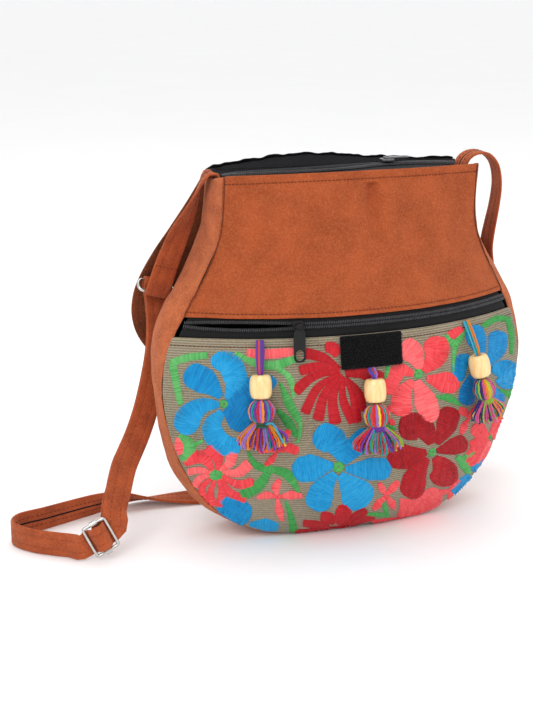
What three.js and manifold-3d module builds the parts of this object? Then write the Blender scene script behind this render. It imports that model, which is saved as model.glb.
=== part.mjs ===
// Embroidered suede shoulder bag, standing on its flattened base with the flap thrown back and the strap
// lying beside it. Millimetres: X to the right of someone facing the front, Y to the back, Z up.
// The origin is the centre of the flat base.
import * as THREE from "three";
import { mergeVertices } from "three/addons/utils/BufferGeometryUtils.js";
import Module from "manifold-3d";

const wasm = await Module();
wasm.setup();

// Wall thicknesses, and the gap left between pieces that touch.
const SUEDE = 1.8;
const CLOTH = 1.6;
const LINING = 1.0;
const TAPE = 1.0;
const GAP = 0.3;

// How the panels swell: the power of the curve across a panel from its middle to its seams.
const SWELL_POWER = 2.2;

// Cross-sections of the body from the base up. half is the seam's half width, trim how much narrower it is on
// the right, taper how much narrower it is at the back, front and back its depths, belly and rear the swell
// of the panels past it, left and right the outward swell of the gusset, dip the drop of the back seam.
// A column left out of a row is zero.
const SECTIONS = [
  { z: 0, half: 51, trim: 0, taper: 0, front: -25, belly: 0, back: 25, rear: 0, left: 0, right: 0, dip: 0 },
  { z: 3, half: 68, trim: 1, front: -25, belly: 7, back: 25, rear: 3, left: 1, right: 1 },
  { z: 10, half: 90, trim: 2, front: -24, belly: 17, back: 26, rear: 7, left: 3, right: 2 },
  { z: 25, half: 113, trim: 3, front: -22, belly: 30, back: 28, rear: 11, left: 6, right: 4 },
  { z: 48, half: 132, trim: 4, taper: 1, front: -19, belly: 41, back: 31, rear: 14, left: 7, right: 5 },
  { z: 74, half: 144.5, trim: 3, taper: 4, front: -16.3, belly: 47, back: 34, rear: 15, left: 5, right: 6 },
  { z: 98, half: 151, trim: 1, taper: 7, front: -14.4, belly: 49, back: 36, rear: 15, left: 4, right: 8 },
  { z: 120, half: 154, taper: 7, front: -13.1, belly: 48, back: 37, rear: 15, left: 3.5, right: 11 },
  { z: 140, half: 153, taper: 5, front: -12.4, belly: 46, back: 38, rear: 14, left: 4, right: 13 },
  { z: 160, half: 148.5, taper: 3, front: -11.9, belly: 43, back: 38, rear: 13, left: 5, right: 14 },
  { z: 180, half: 138, taper: 1, front: -11.9, belly: 41, back: 38, rear: 12, left: 6, right: 14 },
  { z: 200, half: 126.5, front: -12.3, belly: 36, back: 37.5, rear: 11, left: 5, right: 13 },
  { z: 220, half: 116, front: -13.2, belly: 29, back: 36, rear: 9, left: 1, right: 9 },
  { z: 240, half: 108.5, front: -14.6, belly: 20, back: 34, rear: 7, left: 4, right: 3, dip: 1 },
  { z: 262, half: 106.5, front: -17, belly: 11, back: 31, rear: 5, left: 5, right: 4, dip: 3 },
  { z: 288, half: 106, front: -20, belly: 5, back: 27, rear: 4, left: 3, right: 3, dip: 8 },
];
const TOP = SECTIONS.length - 1;
const SECTION_STEP = 0.5;
const SECTION_CLEAR = 0.2;
const BASE_STEPS = 4;
const GUSSET_COLUMNS = 4;
const YOKE_COLUMNS = 20;
const POCKET_COLUMNS = 16;
const BACK_COLUMNS = 8;

// Soft folds of the front: middle, reach and depth of each, and how far it leans along X per unit of Z.
// They fade where the belly swells less than FOLD_BELLY.
const FOLD_BELLY = 12;
const FOLDS = [
  { x: 13, z: 272, wide: 6, tall: 34, depth: 3.4, lean: 0.1 },
  { x: 30, z: 262, wide: 14, tall: 26, depth: -1.8, lean: 0.1 },
  { x: -62, z: 238, wide: 26, tall: 20, depth: 1.6, lean: -0.3 },
  { x: 74, z: 222, wide: 22, tall: 22, depth: 1.4, lean: 0.4 },
  { x: -18, z: 10, wide: 16, tall: 12, depth: 1.8, lean: 0 },
  { x: 44, z: 14, wide: 16, tall: 14, depth: 2.0, lean: 0 },
];

// The pocket zip lies between the yoke's lower edge and the pocket's upper edge, its chain nearer the yoke.
const YOKE_LOW = 182.6;
const CHAIN = 177.2;
const POCKET_HIGH = 167.8;
const ZIP_RECESS = 1.0;
const COIL_WIDE = 2.3;
const COIL_THICK = 2.2;
const COIL_PROUD = 0.9;
const ZIP_PART = 1.6;
const ZIP_SLIDER_X = -57;
const ZIP_STEPS = 20;
const ZIP_END_GAP = 3.4;

// Slider body, the bridge on it, and the pull: its barrel, its blade and the hole near the blade's end.
const SLIDER = { long: 9, tall: 8, thick: 3.2, corner: 2 };
const BRIDGE = { long: 7.4, bar: 0.8, post: 1.4, postTall: 2.4, bite: 0.4 };
const PULL = { wide: 9, long: 28, thick: 1.6, corner: 3.1, barrel: 2.1, barrelLong: 4 };
const PULL_HOLE = { wide: 4.6, tall: 8, corner: 2.1, rim: 2.1 };
const PULL_PLAY = 0.4;
const PULL_LEAN = 0.16;

// Mating patches of the flap's fastening.
const PATCH = { x: 0, wide: 50.8, tall: 25.4, thick: 1.8 };

// Rows of the flap from its hinge at the back edge of the mouth: length along it, half width, depth, height.
const FLAP = [
  { along: 0, half: 98, y: 29.8, z: 280.7 },
  { along: 8, half: 98.5, y: 33, z: 285.2 },
  { along: 17, half: 102, y: 40, z: 282.6 },
  { along: 40, half: 112, y: 47.5, z: 262 },
  { along: 71, half: 132, y: 53.5, z: 232 },
  { along: 97, half: 149, y: 58.5, z: 207 },
  { along: 116, half: 156, y: 62, z: 188 },
  { along: 132, half: 157.5, y: 64.5, z: 172 },
  { along: 150, half: 154, y: 66.5, z: 154 },
  { along: 168, half: 143, y: 68, z: 136 },
  { along: 184, half: 124, y: 69, z: 120 },
  { along: 196, half: 98, y: 69.5, z: 108 },
  { along: 204, half: 68, y: 69.7, z: 100 },
  { along: 208, half: 48, y: 69.8, z: 96 },
];
const FLAP_COLUMNS = 12;
const FLAP_FORWARD = 3;
const HINGE_BOW = 2.6;
const FLAP_SAG = 4;
const FOLD_RISE = 5.2;
const FOLD_RISE_AT = -22;
const FOLD_RISE_REACH = 52;
const FOLD_RISE_ROW = { at: 1.2, reach: 1.1 };
const LINING_INSET = 1.5;
const LINING_COLUMNS = 16;
const CRINKLES = 9;
const CRINKLE_DEEP = 1.3;
const CRINKLE_ROW = { at: 1.4, reach: 1.2 };
const CRINKLE_DRIFT = { turn: 1.7, rate: 5 };
const FLAP_PATCH_ROW = 10.1;
const FLAP_PATCH_SPAN = 12;

// Lips of the mouth zip along X: depth and height of the front coil and of the back one.
const MOUTH = [
  { x: -98.8, front: 1, frontZ: 283.2, back: 6, backZ: 282.4 },
  { x: -84, front: -8, frontZ: 285, back: 14, backZ: 282.6 },
  { x: -50, front: -13, frontZ: 285.6, back: 17.5, backZ: 282.8 },
  { x: -15, front: -11, frontZ: 285.6, back: 17, backZ: 283.4 },
  { x: 15, front: 0, frontZ: 285, back: 13.5, backZ: 284.6 },
  { x: 38, front: 7.6, frontZ: 285, back: 10.6, backZ: 285 },
  { x: 70, front: 7.8, frontZ: 284.8, back: 10.4, backZ: 284.8 },
  { x: 98.8, front: 6.8, frontZ: 283.4, back: 9.4, backZ: 283.4 },
];
const MOUTH_STEPS = 14;
const MOUTH_SEAT = { front: 281.4, back: 276.4, below: 0.12 };
const MOUTH_SLIDER_X = 40;
const MOUTH_SLIDER = { long: 11, wide: 8, tall: 2.6, corner: 2.4 };
const MOUTH_PULL = { long: 22, wide: 6, thick: 1.4, corner: 2.6, overhang: 3, bite: 0.2 };

// The strap: section, and the turn radius of its middle round a wire of the ring or of the slide.
const STRAP_WIDE = 20;
const STRAP_THICK = 2.2;
const STRAP_STEP = 15;
const TURN_STEP = 0.36;
const TAB_LEAD = 6;
const RING_WIRE = 1.3;
const SLIDE_WIRE = 1.3;
const TURN = RING_WIRE + 1.5 * GAP + STRAP_THICK / 2;

// The short tab from the left end of the mouth to the ring: route of its middle, and where its width points.
const TAB = [
  { x: -102.6, y: 5, z: 270, wx: 0, wy: 1, wz: 0 },
  { x: -102.6, y: 5, z: 281, wx: 0, wy: 1, wz: 0 },
  { x: -105, y: 5.5, z: 287.4, wx: 0, wy: 1, wz: 0 },
  { x: -110.4, y: 7, z: 287, wx: 0.1, wy: 1, wz: 0 },
  { x: -114.4, y: 10, z: 279, wx: 0.3, wy: 0.95, wz: 0 },
  { x: -119, y: 17, z: 262, wx: 0.65, wy: 0.75, wz: 0 },
  { x: -126, y: 27, z: 240, wx: 0.9, wy: 0.35, wz: -0.2 },
  { x: -134, y: 36, z: 214, wx: 0.96, wy: 0.1, wz: -0.25 },
  { x: -139.5, y: 41.5, z: 194, wx: 0.97, wy: 0, wz: -0.25 },
];

// The ring: its front wire lies in the tab's end loop, its rear wire carries the strap.
const RING = { x: -141, y: 44, z: 189.6, long: 32, tall: 13.5, corner: 4.6 };
const RING_ALONG = new THREE.Vector3(0.97, 0, -0.25);
const RING_RISE = new THREE.Vector3(0.14, 0.72, 0.68);

// The doubled run of the strap between the ring and the slide: middle of its two layers, width direction,
// and how far apart the layers' middles lie.
const DOUBLED = [
  { x: -138, y: 53, z: 184, wx: 0.97, wy: 0, wz: -0.2, apart: 4.6 },
  { x: -137, y: 53, z: 158, wx: 0.99, wy: 0, wz: -0.1, apart: 3.2 },
  { x: -140.6, y: 52, z: 130, wx: 0.99, wy: 0, wz: -0.15, apart: 3 },
  { x: -151, y: 47, z: 94, wx: 0.96, wy: -0.1, wz: -0.25, apart: 3 },
  { x: -164, y: 33, z: 73.8, wx: 0.9, wy: -0.2, wz: -0.35, apart: 3 },
  { x: -179, y: 12, z: 60.6, wx: 0.88, wy: -0.2, wz: -0.42, apart: 3 },
  { x: -188.3, y: -5, z: 47.5, wx: 0.82, wy: -0.2, wz: -0.5, apart: 3 },
  { x: -195.5, y: -17, z: 35.5, wx: 0.6, wy: -0.2, wz: -0.76, apart: 3 },
];

// The slide: middle of its frame, outer sizes, how the strap passes over its bar and clears its wires as
// shares of them, direction along its bars and direction along the strap.
const SLIDE = { x: -207.5, y: -23, z: 18.6, long: 27, tall: 21, corner: 1.6, bar: 1.1 };
const SLIDE_PASS = { over: 0.28, sink: 0.92, clear: 0.75, behind: 0.7 };
const SLIDE_ALONG = new THREE.Vector3(0.42, -0.15, -0.89);
const SLIDE_ACROSS = new THREE.Vector3(0.9, 0, 0.43);

// The single run of the strap from the slide round the loop on the floor, behind the bag and up to the
// right end of the mouth: route of its middle, and where its width points.
const SINGLE = [
  { x: -219.5, y: -21.5, z: 12.6, wx: 0.15, wy: -0.05, wz: -1 },
  { x: -232, y: -10, z: 10.6, wx: 0, wy: 0, wz: -1 },
  { x: -254, y: 8, z: 10.3, wx: 0, wy: 0, wz: -1 },
  { x: -265.5, y: 28, z: 10.3, wx: 0, wy: 0, wz: -1 },
  { x: -258, y: 43, z: 10.3, wx: 0, wy: 0, wz: -1 },
  { x: -239, y: 49, z: 10.3, wx: 0, wy: 0.05, wz: -1 },
  { x: -190, y: 66, z: 10.3, wx: 0, wy: 0.25, wz: -0.97 },
  { x: -165, y: 73, z: 9.0, wx: 0, wy: 0.7, wz: -0.7 },
  { x: -142, y: 75, z: 5.4, wx: 0, wy: 0.95, wz: -0.3 },
  { x: -105, y: 70, z: 3.6, wx: 0.1, wy: 0.97, wz: 0.2 },
  { x: -60, y: 66, z: 1.8, wx: 0, wy: 1, wz: 0.03 },
  { x: 0, y: 70, z: 1.4, wx: 0, wy: 1, wz: 0 },
  { x: 60, y: 74, z: 1.4, wx: 0, wy: 1, wz: 0 },
  { x: 100, y: 74, z: 4, wx: 0, wy: 1, wz: 0 },
  { x: 126, y: 71, z: 18, wx: 0, wy: 1, wz: 0 },
  { x: 143, y: 66, z: 46, wx: 0, wy: 1, wz: 0 },
  { x: 154, y: 59, z: 90, wx: 0, wy: 1, wz: 0 },
  { x: 159, y: 51, z: 140, wx: 0, wy: 1, wz: 0 },
  { x: 156, y: 45, z: 180, wx: 0, wy: 1, wz: 0 },
  { x: 149, y: 39, z: 210, wx: 0, wy: 1, wz: 0 },
  { x: 148.5, y: 30, z: 240, wx: 0.1, wy: 1, wz: 0 },
  { x: 146.5, y: 22, z: 263, wx: 0.15, wy: 1, wz: 0 },
  { x: 140, y: 16, z: 281, wx: 0.15, wy: 1, wz: 0 },
  { x: 128, y: 11, z: 291.5, wx: 0.1, wy: 1, wz: 0 },
  { x: 115, y: 7, z: 293.4, wx: 0.05, wy: 1, wz: 0 },
  { x: 106, y: 5, z: 289.6, wx: 0, wy: 1, wz: 0 },
  { x: 102.7, y: 5, z: 282, wx: 0, wy: 1, wz: 0 },
  { x: 102.6, y: 5, z: 270, wx: 0, wy: 1, wz: 0 },
];

// The three tassels: where the hanger leaves the pocket's edge, and the middles of the bead and the ball.
const TASSELS = [
  { name: "left", topX: -85, topZ: 166.6, beadX: -86.2, beadZ: 134, ballX: -86.2, ballZ: 115.6 },
  { name: "middle", topX: -1.5, topZ: 141.6, beadX: -2.5, beadZ: 126, ballX: -2.5, ballZ: 107 },
  { name: "right", topX: 88, topZ: 166.6, beadX: 92.5, beadZ: 131.6, ballX: 95.5, ballZ: 112.6 },
];
const BEAD = { radius: 8.5, tall: 18, bore: 2.9, end: 5.4, shoulder: 7.65, shoulderAt: 5.94, bellyAt: 1.8 };
const BALL = { radius: 10, tall: 18.5 };
const HANGER_RADIUS = 2.3;
const WAIST = { radius: 4.4, tall: 6 };
const SKIRT = { long: 21, spread: 0.62, lock: 3.0, tip: 4.6, locks: 6, lean: 0.16, root: 1.5 };
const CLEAR_OF_PANEL = 1.4;

// Uniform Catmull-Rom value between b and c.
function ease(a, b, c, d, f) {
  const square = (2 * a - 5 * b + 4 * c - d) * f * f;
  const cube = (3 * b - a - 3 * c + d) * f * f * f;
  return 0.5 * (2 * b + (c - a) * f + square + cube);
}

// The row of a table at a fractional index, every column eased through its neighbours.
function rowAt(table, t) {
  const low = Math.min(Math.floor(t), table.length - 2);
  const pick = (i) => table[Math.min(Math.max(i, 0), table.length - 1)];
  const row = {};
  for (const key of Object.keys(table[0])) {
    const [a, b, c, d] = [-1, 0, 1, 2].map((step) => pick(low + step)[key] ?? 0);
    row[key] = ease(a, b, c, d, t - low);
  }
  return row;
}

// The index of a table where a rising column reaches a value.
function indexWhere(table, key, value) {
  let low = 0;
  let high = table.length - 1;
  for (let i = 0; i < 40; i += 1) {
    const middle = (low + high) / 2;
    if (rowAt(table, middle)[key] < value) {
      low = middle;
    } else {
      high = middle;
    }
  }
  return (low + high) / 2;
}

const vector = (x, y, z) => new THREE.Vector3(x, y, z);

// A closed geometry from points and triangles, turned so that its faces point out.
function closedGeometry(points, triangles) {
  let volume = 0;
  for (const [a, b, c] of triangles) {
    volume += points[a].dot(vector(0, 0, 0).crossVectors(points[b], points[c]));
  }
  const index = triangles.flatMap(([a, b, c]) => (volume > 0 ? [a, b, c] : [a, c, b]));
  const geometry = new THREE.BufferGeometry();
  geometry.setFromPoints(points);
  geometry.setIndex(index);
  return geometry;
}

// A wall between an outer and an inner grid of points, each a list of rows.
function wall(outer, inner) {
  const rows = outer.length;
  const columns = outer[0].length;
  const points = [...outer.flat(), ...inner.flat()];
  const out = (i, j) => i * columns + j;
  const into = (i, j) => rows * columns + i * columns + j;
  const triangles = [];
  for (let i = 0; i < rows - 1; i += 1) {
    for (let j = 0; j < columns - 1; j += 1) {
      triangles.push([out(i, j), out(i, j + 1), out(i + 1, j + 1)]);
      triangles.push([out(i, j), out(i + 1, j + 1), out(i + 1, j)]);
      triangles.push([into(i, j), into(i + 1, j + 1), into(i, j + 1)]);
      triangles.push([into(i, j), into(i + 1, j), into(i + 1, j + 1)]);
    }
  }
  const rim = [];
  for (let j = 0; j < columns - 1; j += 1) rim.push([0, j]);
  for (let i = 0; i < rows - 1; i += 1) rim.push([i, columns - 1]);
  for (let j = columns - 1; j > 0; j -= 1) rim.push([rows - 1, j]);
  for (let i = rows - 1; i > 0; i -= 1) rim.push([i, 0]);
  rim.forEach((p, k) => {
    const q = rim[(k + 1) % rim.length];
    triangles.push([out(...p), into(...p), into(...q)], [out(...p), into(...q), out(...q)]);
  });
  return closedGeometry(points, triangles);
}

// A grid of points from a function of the row and column positions.
const grid = (rows, columns, at) => rows.map((r) => columns.map((c) => at(r, c)));

// Evenly spaced positions from a first to a last one.
function spaced(first, last, steps) {
  return Array.from({ length: steps + 1 }, (_, i) => first + ((last - first) * i) / steps);
}

// A flat band swept along stations that give its middle, its width direction and its size there.
function band(stations) {
  const points = [];
  const triangles = [];
  stations.forEach((station, i) => {
    const before = stations[Math.max(i - 1, 0)].at;
    const after = stations[Math.min(i + 1, stations.length - 1)].at;
    const along = after.clone().sub(before).normalize();
    const side = station.wide.clone().addScaledVector(along, -station.wide.dot(along)).normalize();
    const face = along.clone().cross(side);
    const corners = [[1, 1], [-1, 1], [-1, -1], [1, -1]];
    for (const [a, b] of corners) {
      const corner = station.at.clone().addScaledVector(side, (a * station.width) / 2);
      points.push(corner.addScaledVector(face, (b * station.thick) / 2));
    }
  });
  const last = (stations.length - 1) * 4;
  for (let i = 0; i < last; i += 4) {
    for (let k = 0; k < 4; k += 1) {
      const next = (k + 1) % 4;
      triangles.push([i + k, i + next, i + 4 + next], [i + k, i + 4 + next, i + 4 + k]);
    }
  }
  triangles.push([0, 2, 1], [0, 3, 2], [last, last + 1, last + 2], [last, last + 2, last + 3]);
  return closedGeometry(points, triangles);
}

// Stations along a route table, about one step apart and closer where the route turns.
function stationsAlong(route, step) {
  const points = route.map((row) => vector(row.x, row.y, row.z));
  const chord = (i) => {
    const low = Math.min(Math.max(i, 0), points.length - 2);
    return points[low + 1].clone().sub(points[low]);
  };
  const stations = [];
  for (let i = 0; i < route.length - 1; i += 1) {
    const turn = chord(i - 1).angleTo(chord(i + 1));
    const parts = Math.max(1, Math.round(chord(i).length() / step), Math.round(turn / TURN_STEP));
    for (let k = 0; k < parts; k += 1) stations.push(rowAt(route, i + k / parts));
  }
  stations.push(rowAt(route, route.length - 1));
  return stations.map((row) => ({
    at: vector(row.x, row.y, row.z),
    wide: vector(row.wx, row.wy, row.wz),
    width: STRAP_WIDE,
    thick: STRAP_THICK,
    apart: row.apart,
  }));
}

// A solid for joining and cutting, and the geometry that comes back from it.
function solidOf(geometry) {
  const bare = geometry.index ? geometry.toNonIndexed() : geometry.clone();
  bare.deleteAttribute("normal");
  bare.deleteAttribute("uv");
  const merged = mergeVertices(bare, 1e-4);
  const vertProperties = new Float32Array(merged.attributes.position.array);
  const triVerts = new Uint32Array(merged.index.array);
  return new wasm.Manifold(new wasm.Mesh({ numProp: 3, vertProperties, triVerts }));
}

function joined(geometries) {
  const solid = geometries.map(solidOf).reduce((sum, next) => sum.add(next));
  const mesh = solid.getMesh();
  const geometry = new THREE.BufferGeometry();
  geometry.setAttribute("position", new THREE.BufferAttribute(new Float32Array(mesh.vertProperties), 3));
  geometry.setIndex(new THREE.BufferAttribute(new Uint32Array(mesh.triVerts), 1));
  return geometry;
}

// A frame of axes as a matrix, for placing a piece made at the origin.
function placed(geometry, xAxis, yAxis, zAxis, origin) {
  const matrix = new THREE.Matrix4().makeBasis(xAxis, yAxis, zAxis);
  return geometry.applyMatrix4(matrix).translate(origin.x, origin.y, origin.z);
}

const MATERIALS = {
  suede: { color: 0xb85f35, roughness: 0.95, metalness: 0 },
  cloth: { color: 0x8c8068, roughness: 0.9, metalness: 0 },
  lining: { color: 0x1b1b1e, roughness: 0.6, metalness: 0 },
  tape: { color: 0x18181a, roughness: 0.85, metalness: 0 },
  coil: { color: 0x101011, roughness: 0.45, metalness: 0 },
  blackMetal: { color: 0x141416, roughness: 0.35, metalness: 0.8 },
  steel: { color: 0xd2d2d0, roughness: 0.22, metalness: 1 },
  pile: { color: 0x0c0c0d, roughness: 1, metalness: 0 },
  wood: { color: 0xe2bd85, roughness: 0.35, metalness: 0 },
  yarn: { color: 0x6a4aa8, roughness: 0.9, metalness: 0 },
};
const bag = new THREE.Group();

function addPiece(name, geometry, finish) {
  const mesh = new THREE.Mesh(geometry, new THREE.MeshStandardMaterial(MATERIALS[finish]));
  mesh.name = name;
  bag.add(mesh);
}

// Depth of the front's folds at a place, positive inwards, dying out at the seams.
function foldDepth(x, z, across) {
  let depth = 0;
  for (const fold of FOLDS) {
    const u = (x - fold.x - fold.lean * (z - fold.z)) / fold.wide;
    const v = (z - fold.z) / fold.tall;
    depth += fold.depth * Math.exp(-u * u - v * v);
  }
  return depth * (1 - across ** 4);
}

const swell = (across) => 1 - Math.abs(across) ** SWELL_POWER;

// The seam's half width on the right (side 1) or left (side -1), at the front (share 0) or back (share 1).
const halfOn = (row, side, share) => row.half - (side > 0 ? row.trim : 0) - row.taper * share;

// A point of the front at section index t and position across from -1 to 1.
function frontPoint(t, across) {
  const row = rowAt(SECTIONS, t);
  const x = across * halfOn(row, across, 0);
  const rise = Math.min(1, row.belly / FOLD_BELLY);
  const y = row.front - row.belly * swell(across) + foldDepth(x, row.z, across) * rise;
  return vector(x, y, row.z);
}

// A point of the back, counted across the other way so that its faces point back.
function backPoint(t, across) {
  const row = rowAt(SECTIONS, t);
  const x = -across * halfOn(row, -across, 1);
  return vector(x, row.back + row.rear * swell(across), row.z - row.dip);
}

// Outward direction of the seam's outline at section index t on one side, at the front or the back.
function outlineNormal(t, side, share) {
  const step = 0.02;
  const low = rowAt(SECTIONS, Math.max(t - step, 0));
  const high = rowAt(SECTIONS, Math.min(t + step, TOP));
  return vector(side * (high.z - low.z), 0, halfOn(low, side, share) - halfOn(high, side, share)).normalize();
}

// Outward normal of a panel from its neighbouring points.
function panelNormal(surface, t, across) {
  const step = 0.01;
  const lowT = Math.max(t - step, 0);
  const highT = Math.min(t + step, TOP);
  const alongRow = surface(t, across + step).sub(surface(t, across - step));
  const alongRise = surface(highT, across).sub(surface(lowT, across));
  return alongRow.cross(alongRise).normalize();
}

// A panel between two section indices. Its outer edges stop a gap short of the gusset, and its inner edges
// are mitred against the gusset's inner face.
function panel(surface, facing, rows, columns, thick) {
  const share = facing > 0 ? 1 : 0;
  const away = (t, across) => {
    if (Math.abs(across) === 1) return outlineNormal(t, Math.sign(across) * -facing, share);
    return vector(0, 0, -1);
  };
  const onSeam = (t, across) => Math.abs(across) === 1 || t === 0;
  const outer = grid(rows, columns, (t, across) => {
    const point = surface(t, across);
    return onSeam(t, across) ? point.addScaledVector(away(t, across), -GAP) : point;
  });
  const inner = grid(rows, columns, (t, across) => {
    const point = surface(t, across);
    if (!onSeam(t, across)) return point.addScaledVector(panelNormal(surface, t, across), -thick);
    return point.addScaledVector(away(t, across), -GAP - SUEDE).add(vector(0, -facing * thick, 0));
  });
  return wall(outer, inner);
}

const sectionOf = (z) => indexWhere(SECTIONS, "z", z);
const YOKE_ROW = sectionOf(YOKE_LOW);
const POCKET_ROW = sectionOf(POCKET_HIGH);
const wholeRows = spaced(0, TOP, TOP / SECTION_STEP);

// Section rows between two indices, on the shared steps and with both ends.
function rowsBetween(low, high) {
  const inside = wholeRows.filter((t) => t > low + SECTION_CLEAR && t < high - SECTION_CLEAR);
  return [low, ...inside, high];
}

const yokeRows = rowsBetween(YOKE_ROW, TOP);
const pocketRows = rowsBetween(0, POCKET_ROW);
addPiece("front_yoke", panel(frontPoint, -1, yokeRows, spaced(-1, 1, YOKE_COLUMNS), SUEDE), "suede");
addPiece("front_pocket", panel(frontPoint, -1, pocketRows, spaced(-1, 1, POCKET_COLUMNS), CLOTH), "cloth");
addPiece("back_panel", panel(backPoint, 1, wholeRows, spaced(-1, 1, BACK_COLUMNS), SUEDE), "suede");

// The gusset: one strip from the left end of the mouth, down, under the base and up to the right end.
function gussetStations() {
  const left = [...wholeRows].reverse().map((t) => ({ t, side: -1, x: null }));
  const right = wholeRows.map((t) => ({ t, side: 1, x: null }));
  const base = spaced(-SECTIONS[0].half, SECTIONS[0].half, BASE_STEPS).slice(1, -1);
  return [...left, ...base.map((x) => ({ t: 0, side: 0, x })), ...right];
}

function gussetPoint(station, column, depth) {
  const row = rowAt(SECTIONS, station.t);
  const onBase = station.side === 0;
  const away = onBase ? vector(0, 0, -1) : outlineNormal(station.t, station.side, column);
  const x = onBase ? station.x : station.side * halfOn(row, station.side, column);
  const bulge = onBase ? 0 : (station.side < 0 ? row.left : row.right) * Math.sin(Math.PI * column);
  const point = vector(x, row.front + (row.back - row.front) * column, row.z - row.dip * column);
  point.addScaledVector(away, bulge - depth);
  const rim = GAP + (depth > 0 ? SUEDE : 0);
  if (column === 0) point.y += rim;
  if (column === 1) point.y -= rim;
  if (station.t === 0) point.z = depth;
  return point;
}

const gussetColumns = spaced(0, 1, GUSSET_COLUMNS);
const gussetOuter = grid(gussetStations(), gussetColumns, (station, c) => gussetPoint(station, c, 0));
const gussetInner = grid(gussetStations(), gussetColumns, (station, c) => gussetPoint(station, c, SUEDE));
addPiece("gusset", wall(gussetOuter, gussetInner), "suede");

// A point of the front moved along its normal, placed by X and Z.
function onFront(x, z, proud) {
  const t = sectionOf(z);
  const across = x / halfOn(rowAt(SECTIONS, t), x, 0);
  return frontPoint(t, across).addScaledVector(panelNormal(frontPoint, t, across), proud);
}

// How far each half of the pocket zip stands from the chain's line at X: parted to the left of the slider.
const zipHalf = (z) => halfOn(rowAt(SECTIONS, sectionOf(z)), 0, 0) - ZIP_END_GAP;
function zipParting(x) {
  if (x >= ZIP_SLIDER_X) return 0;
  const along = (ZIP_SLIDER_X - x) / (ZIP_SLIDER_X + zipHalf(CHAIN));
  return ZIP_PART * Math.sin(Math.PI * Math.min(along, 1)) ** 0.7;
}

// A point of the zip by its share across the front, at a height given by X, so that its ends follow the seam.
function zipPoint(share, heightAt, proud) {
  const z = heightAt(share * zipHalf(CHAIN));
  return onFront(share * zipHalf(z), z, proud);
}

const zipColumns = spaced(-1, 1, ZIP_STEPS);

function zipTape(edgeZ, side) {
  const heightAt = (row) => (x) => {
    const lip = CHAIN + side * (GAP / 2 + zipParting(x));
    return edgeZ + (lip - edgeZ) * row;
  };
  const at = (depth) => grid([0, 1], zipColumns, (row, share) => zipPoint(share, heightAt(row), -depth));
  return wall(at(ZIP_RECESS + COIL_PROUD), at(ZIP_RECESS + COIL_PROUD + TAPE));
}

function zipCoil(side) {
  const rows = [GAP / 2, GAP / 2 + COIL_WIDE];
  const base = -ZIP_RECESS - COIL_PROUD + GAP;
  const heightAt = (row) => (x) => CHAIN + side * (row + zipParting(x));
  const at = (proud) => grid(rows, zipColumns, (row, share) => zipPoint(share, heightAt(row), proud));
  return wall(at(base + COIL_THICK), at(base));
}

addPiece("pocket_tape_upper", zipTape(YOKE_LOW - GAP, 1), "tape");
addPiece("pocket_tape_lower", zipTape(POCKET_HIGH + GAP, -1), "tape");
addPiece("pocket_coil_upper", zipCoil(1), "coil");
addPiece("pocket_coil_lower", zipCoil(-1), "coil");

// Axes of the front at a place: along X, outwards, and up along the surface.
function frontAxes(x, z) {
  const t = sectionOf(z);
  const across = x / halfOn(rowAt(SECTIONS, t), x, 0);
  const outwards = panelNormal(frontPoint, t, across);
  const along = vector(1, 0, 0).addScaledVector(outwards, -outwards.x).normalize();
  return { along, outwards, up: along.clone().cross(outwards).negate() };
}

function roundedRectangle(path, wide, tall, radius) {
  const x = wide / 2 - radius;
  const y = tall / 2 - radius;
  path.absarc(x, y, radius, 0, Math.PI / 2);
  path.absarc(-x, y, radius, Math.PI / 2, Math.PI);
  path.absarc(-x, -y, radius, Math.PI, Math.PI * 1.5);
  path.absarc(x, -y, radius, Math.PI * 1.5, Math.PI * 2);
  path.closePath();
  return path;
}

// The slider rides proud of the coils. A bridge on it holds the pull's eye.
const sliderBase = COIL_THICK - ZIP_RECESS - COIL_PROUD + 2 * GAP;
const sliderAxes = frontAxes(ZIP_SLIDER_X, CHAIN);
const barRise = PULL.barrel + GAP;
const bridgeHeight = sliderBase + SLIDER.thick + barRise;

function sliderBody() {
  const outline = roundedRectangle(new THREE.Shape(), SLIDER.long, SLIDER.tall, SLIDER.corner);
  const cut = { depth: SLIDER.thick, bevelEnabled: false, curveSegments: 3 };
  const plate = new THREE.ExtrudeGeometry(outline, cut);
  const bar = new THREE.CylinderGeometry(BRIDGE.bar, BRIDGE.bar, BRIDGE.long, 8).rotateZ(Math.PI / 2);
  bar.translate(0, 0, SLIDER.thick + barRise);
  const posts = [-1, 1].map((side) => {
    const post = new THREE.BoxGeometry(BRIDGE.post, BRIDGE.postTall, barRise + BRIDGE.bar + BRIDGE.bite);
    const middle = SLIDER.thick + (barRise + BRIDGE.bar - BRIDGE.bite) / 2;
    return post.translate((side * (BRIDGE.long - BRIDGE.post + BRIDGE.bite / 2)) / 2, 0, middle);
  });
  return joined([plate, bar, ...posts]);
}

const sliderSeat = onFront(ZIP_SLIDER_X, CHAIN, sliderBase);
addPiece(
  "pocket_slider",
  placed(sliderBody(), sliderAxes.along, sliderAxes.up, sliderAxes.outwards, sliderSeat),
  "blackMetal",
);

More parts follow.
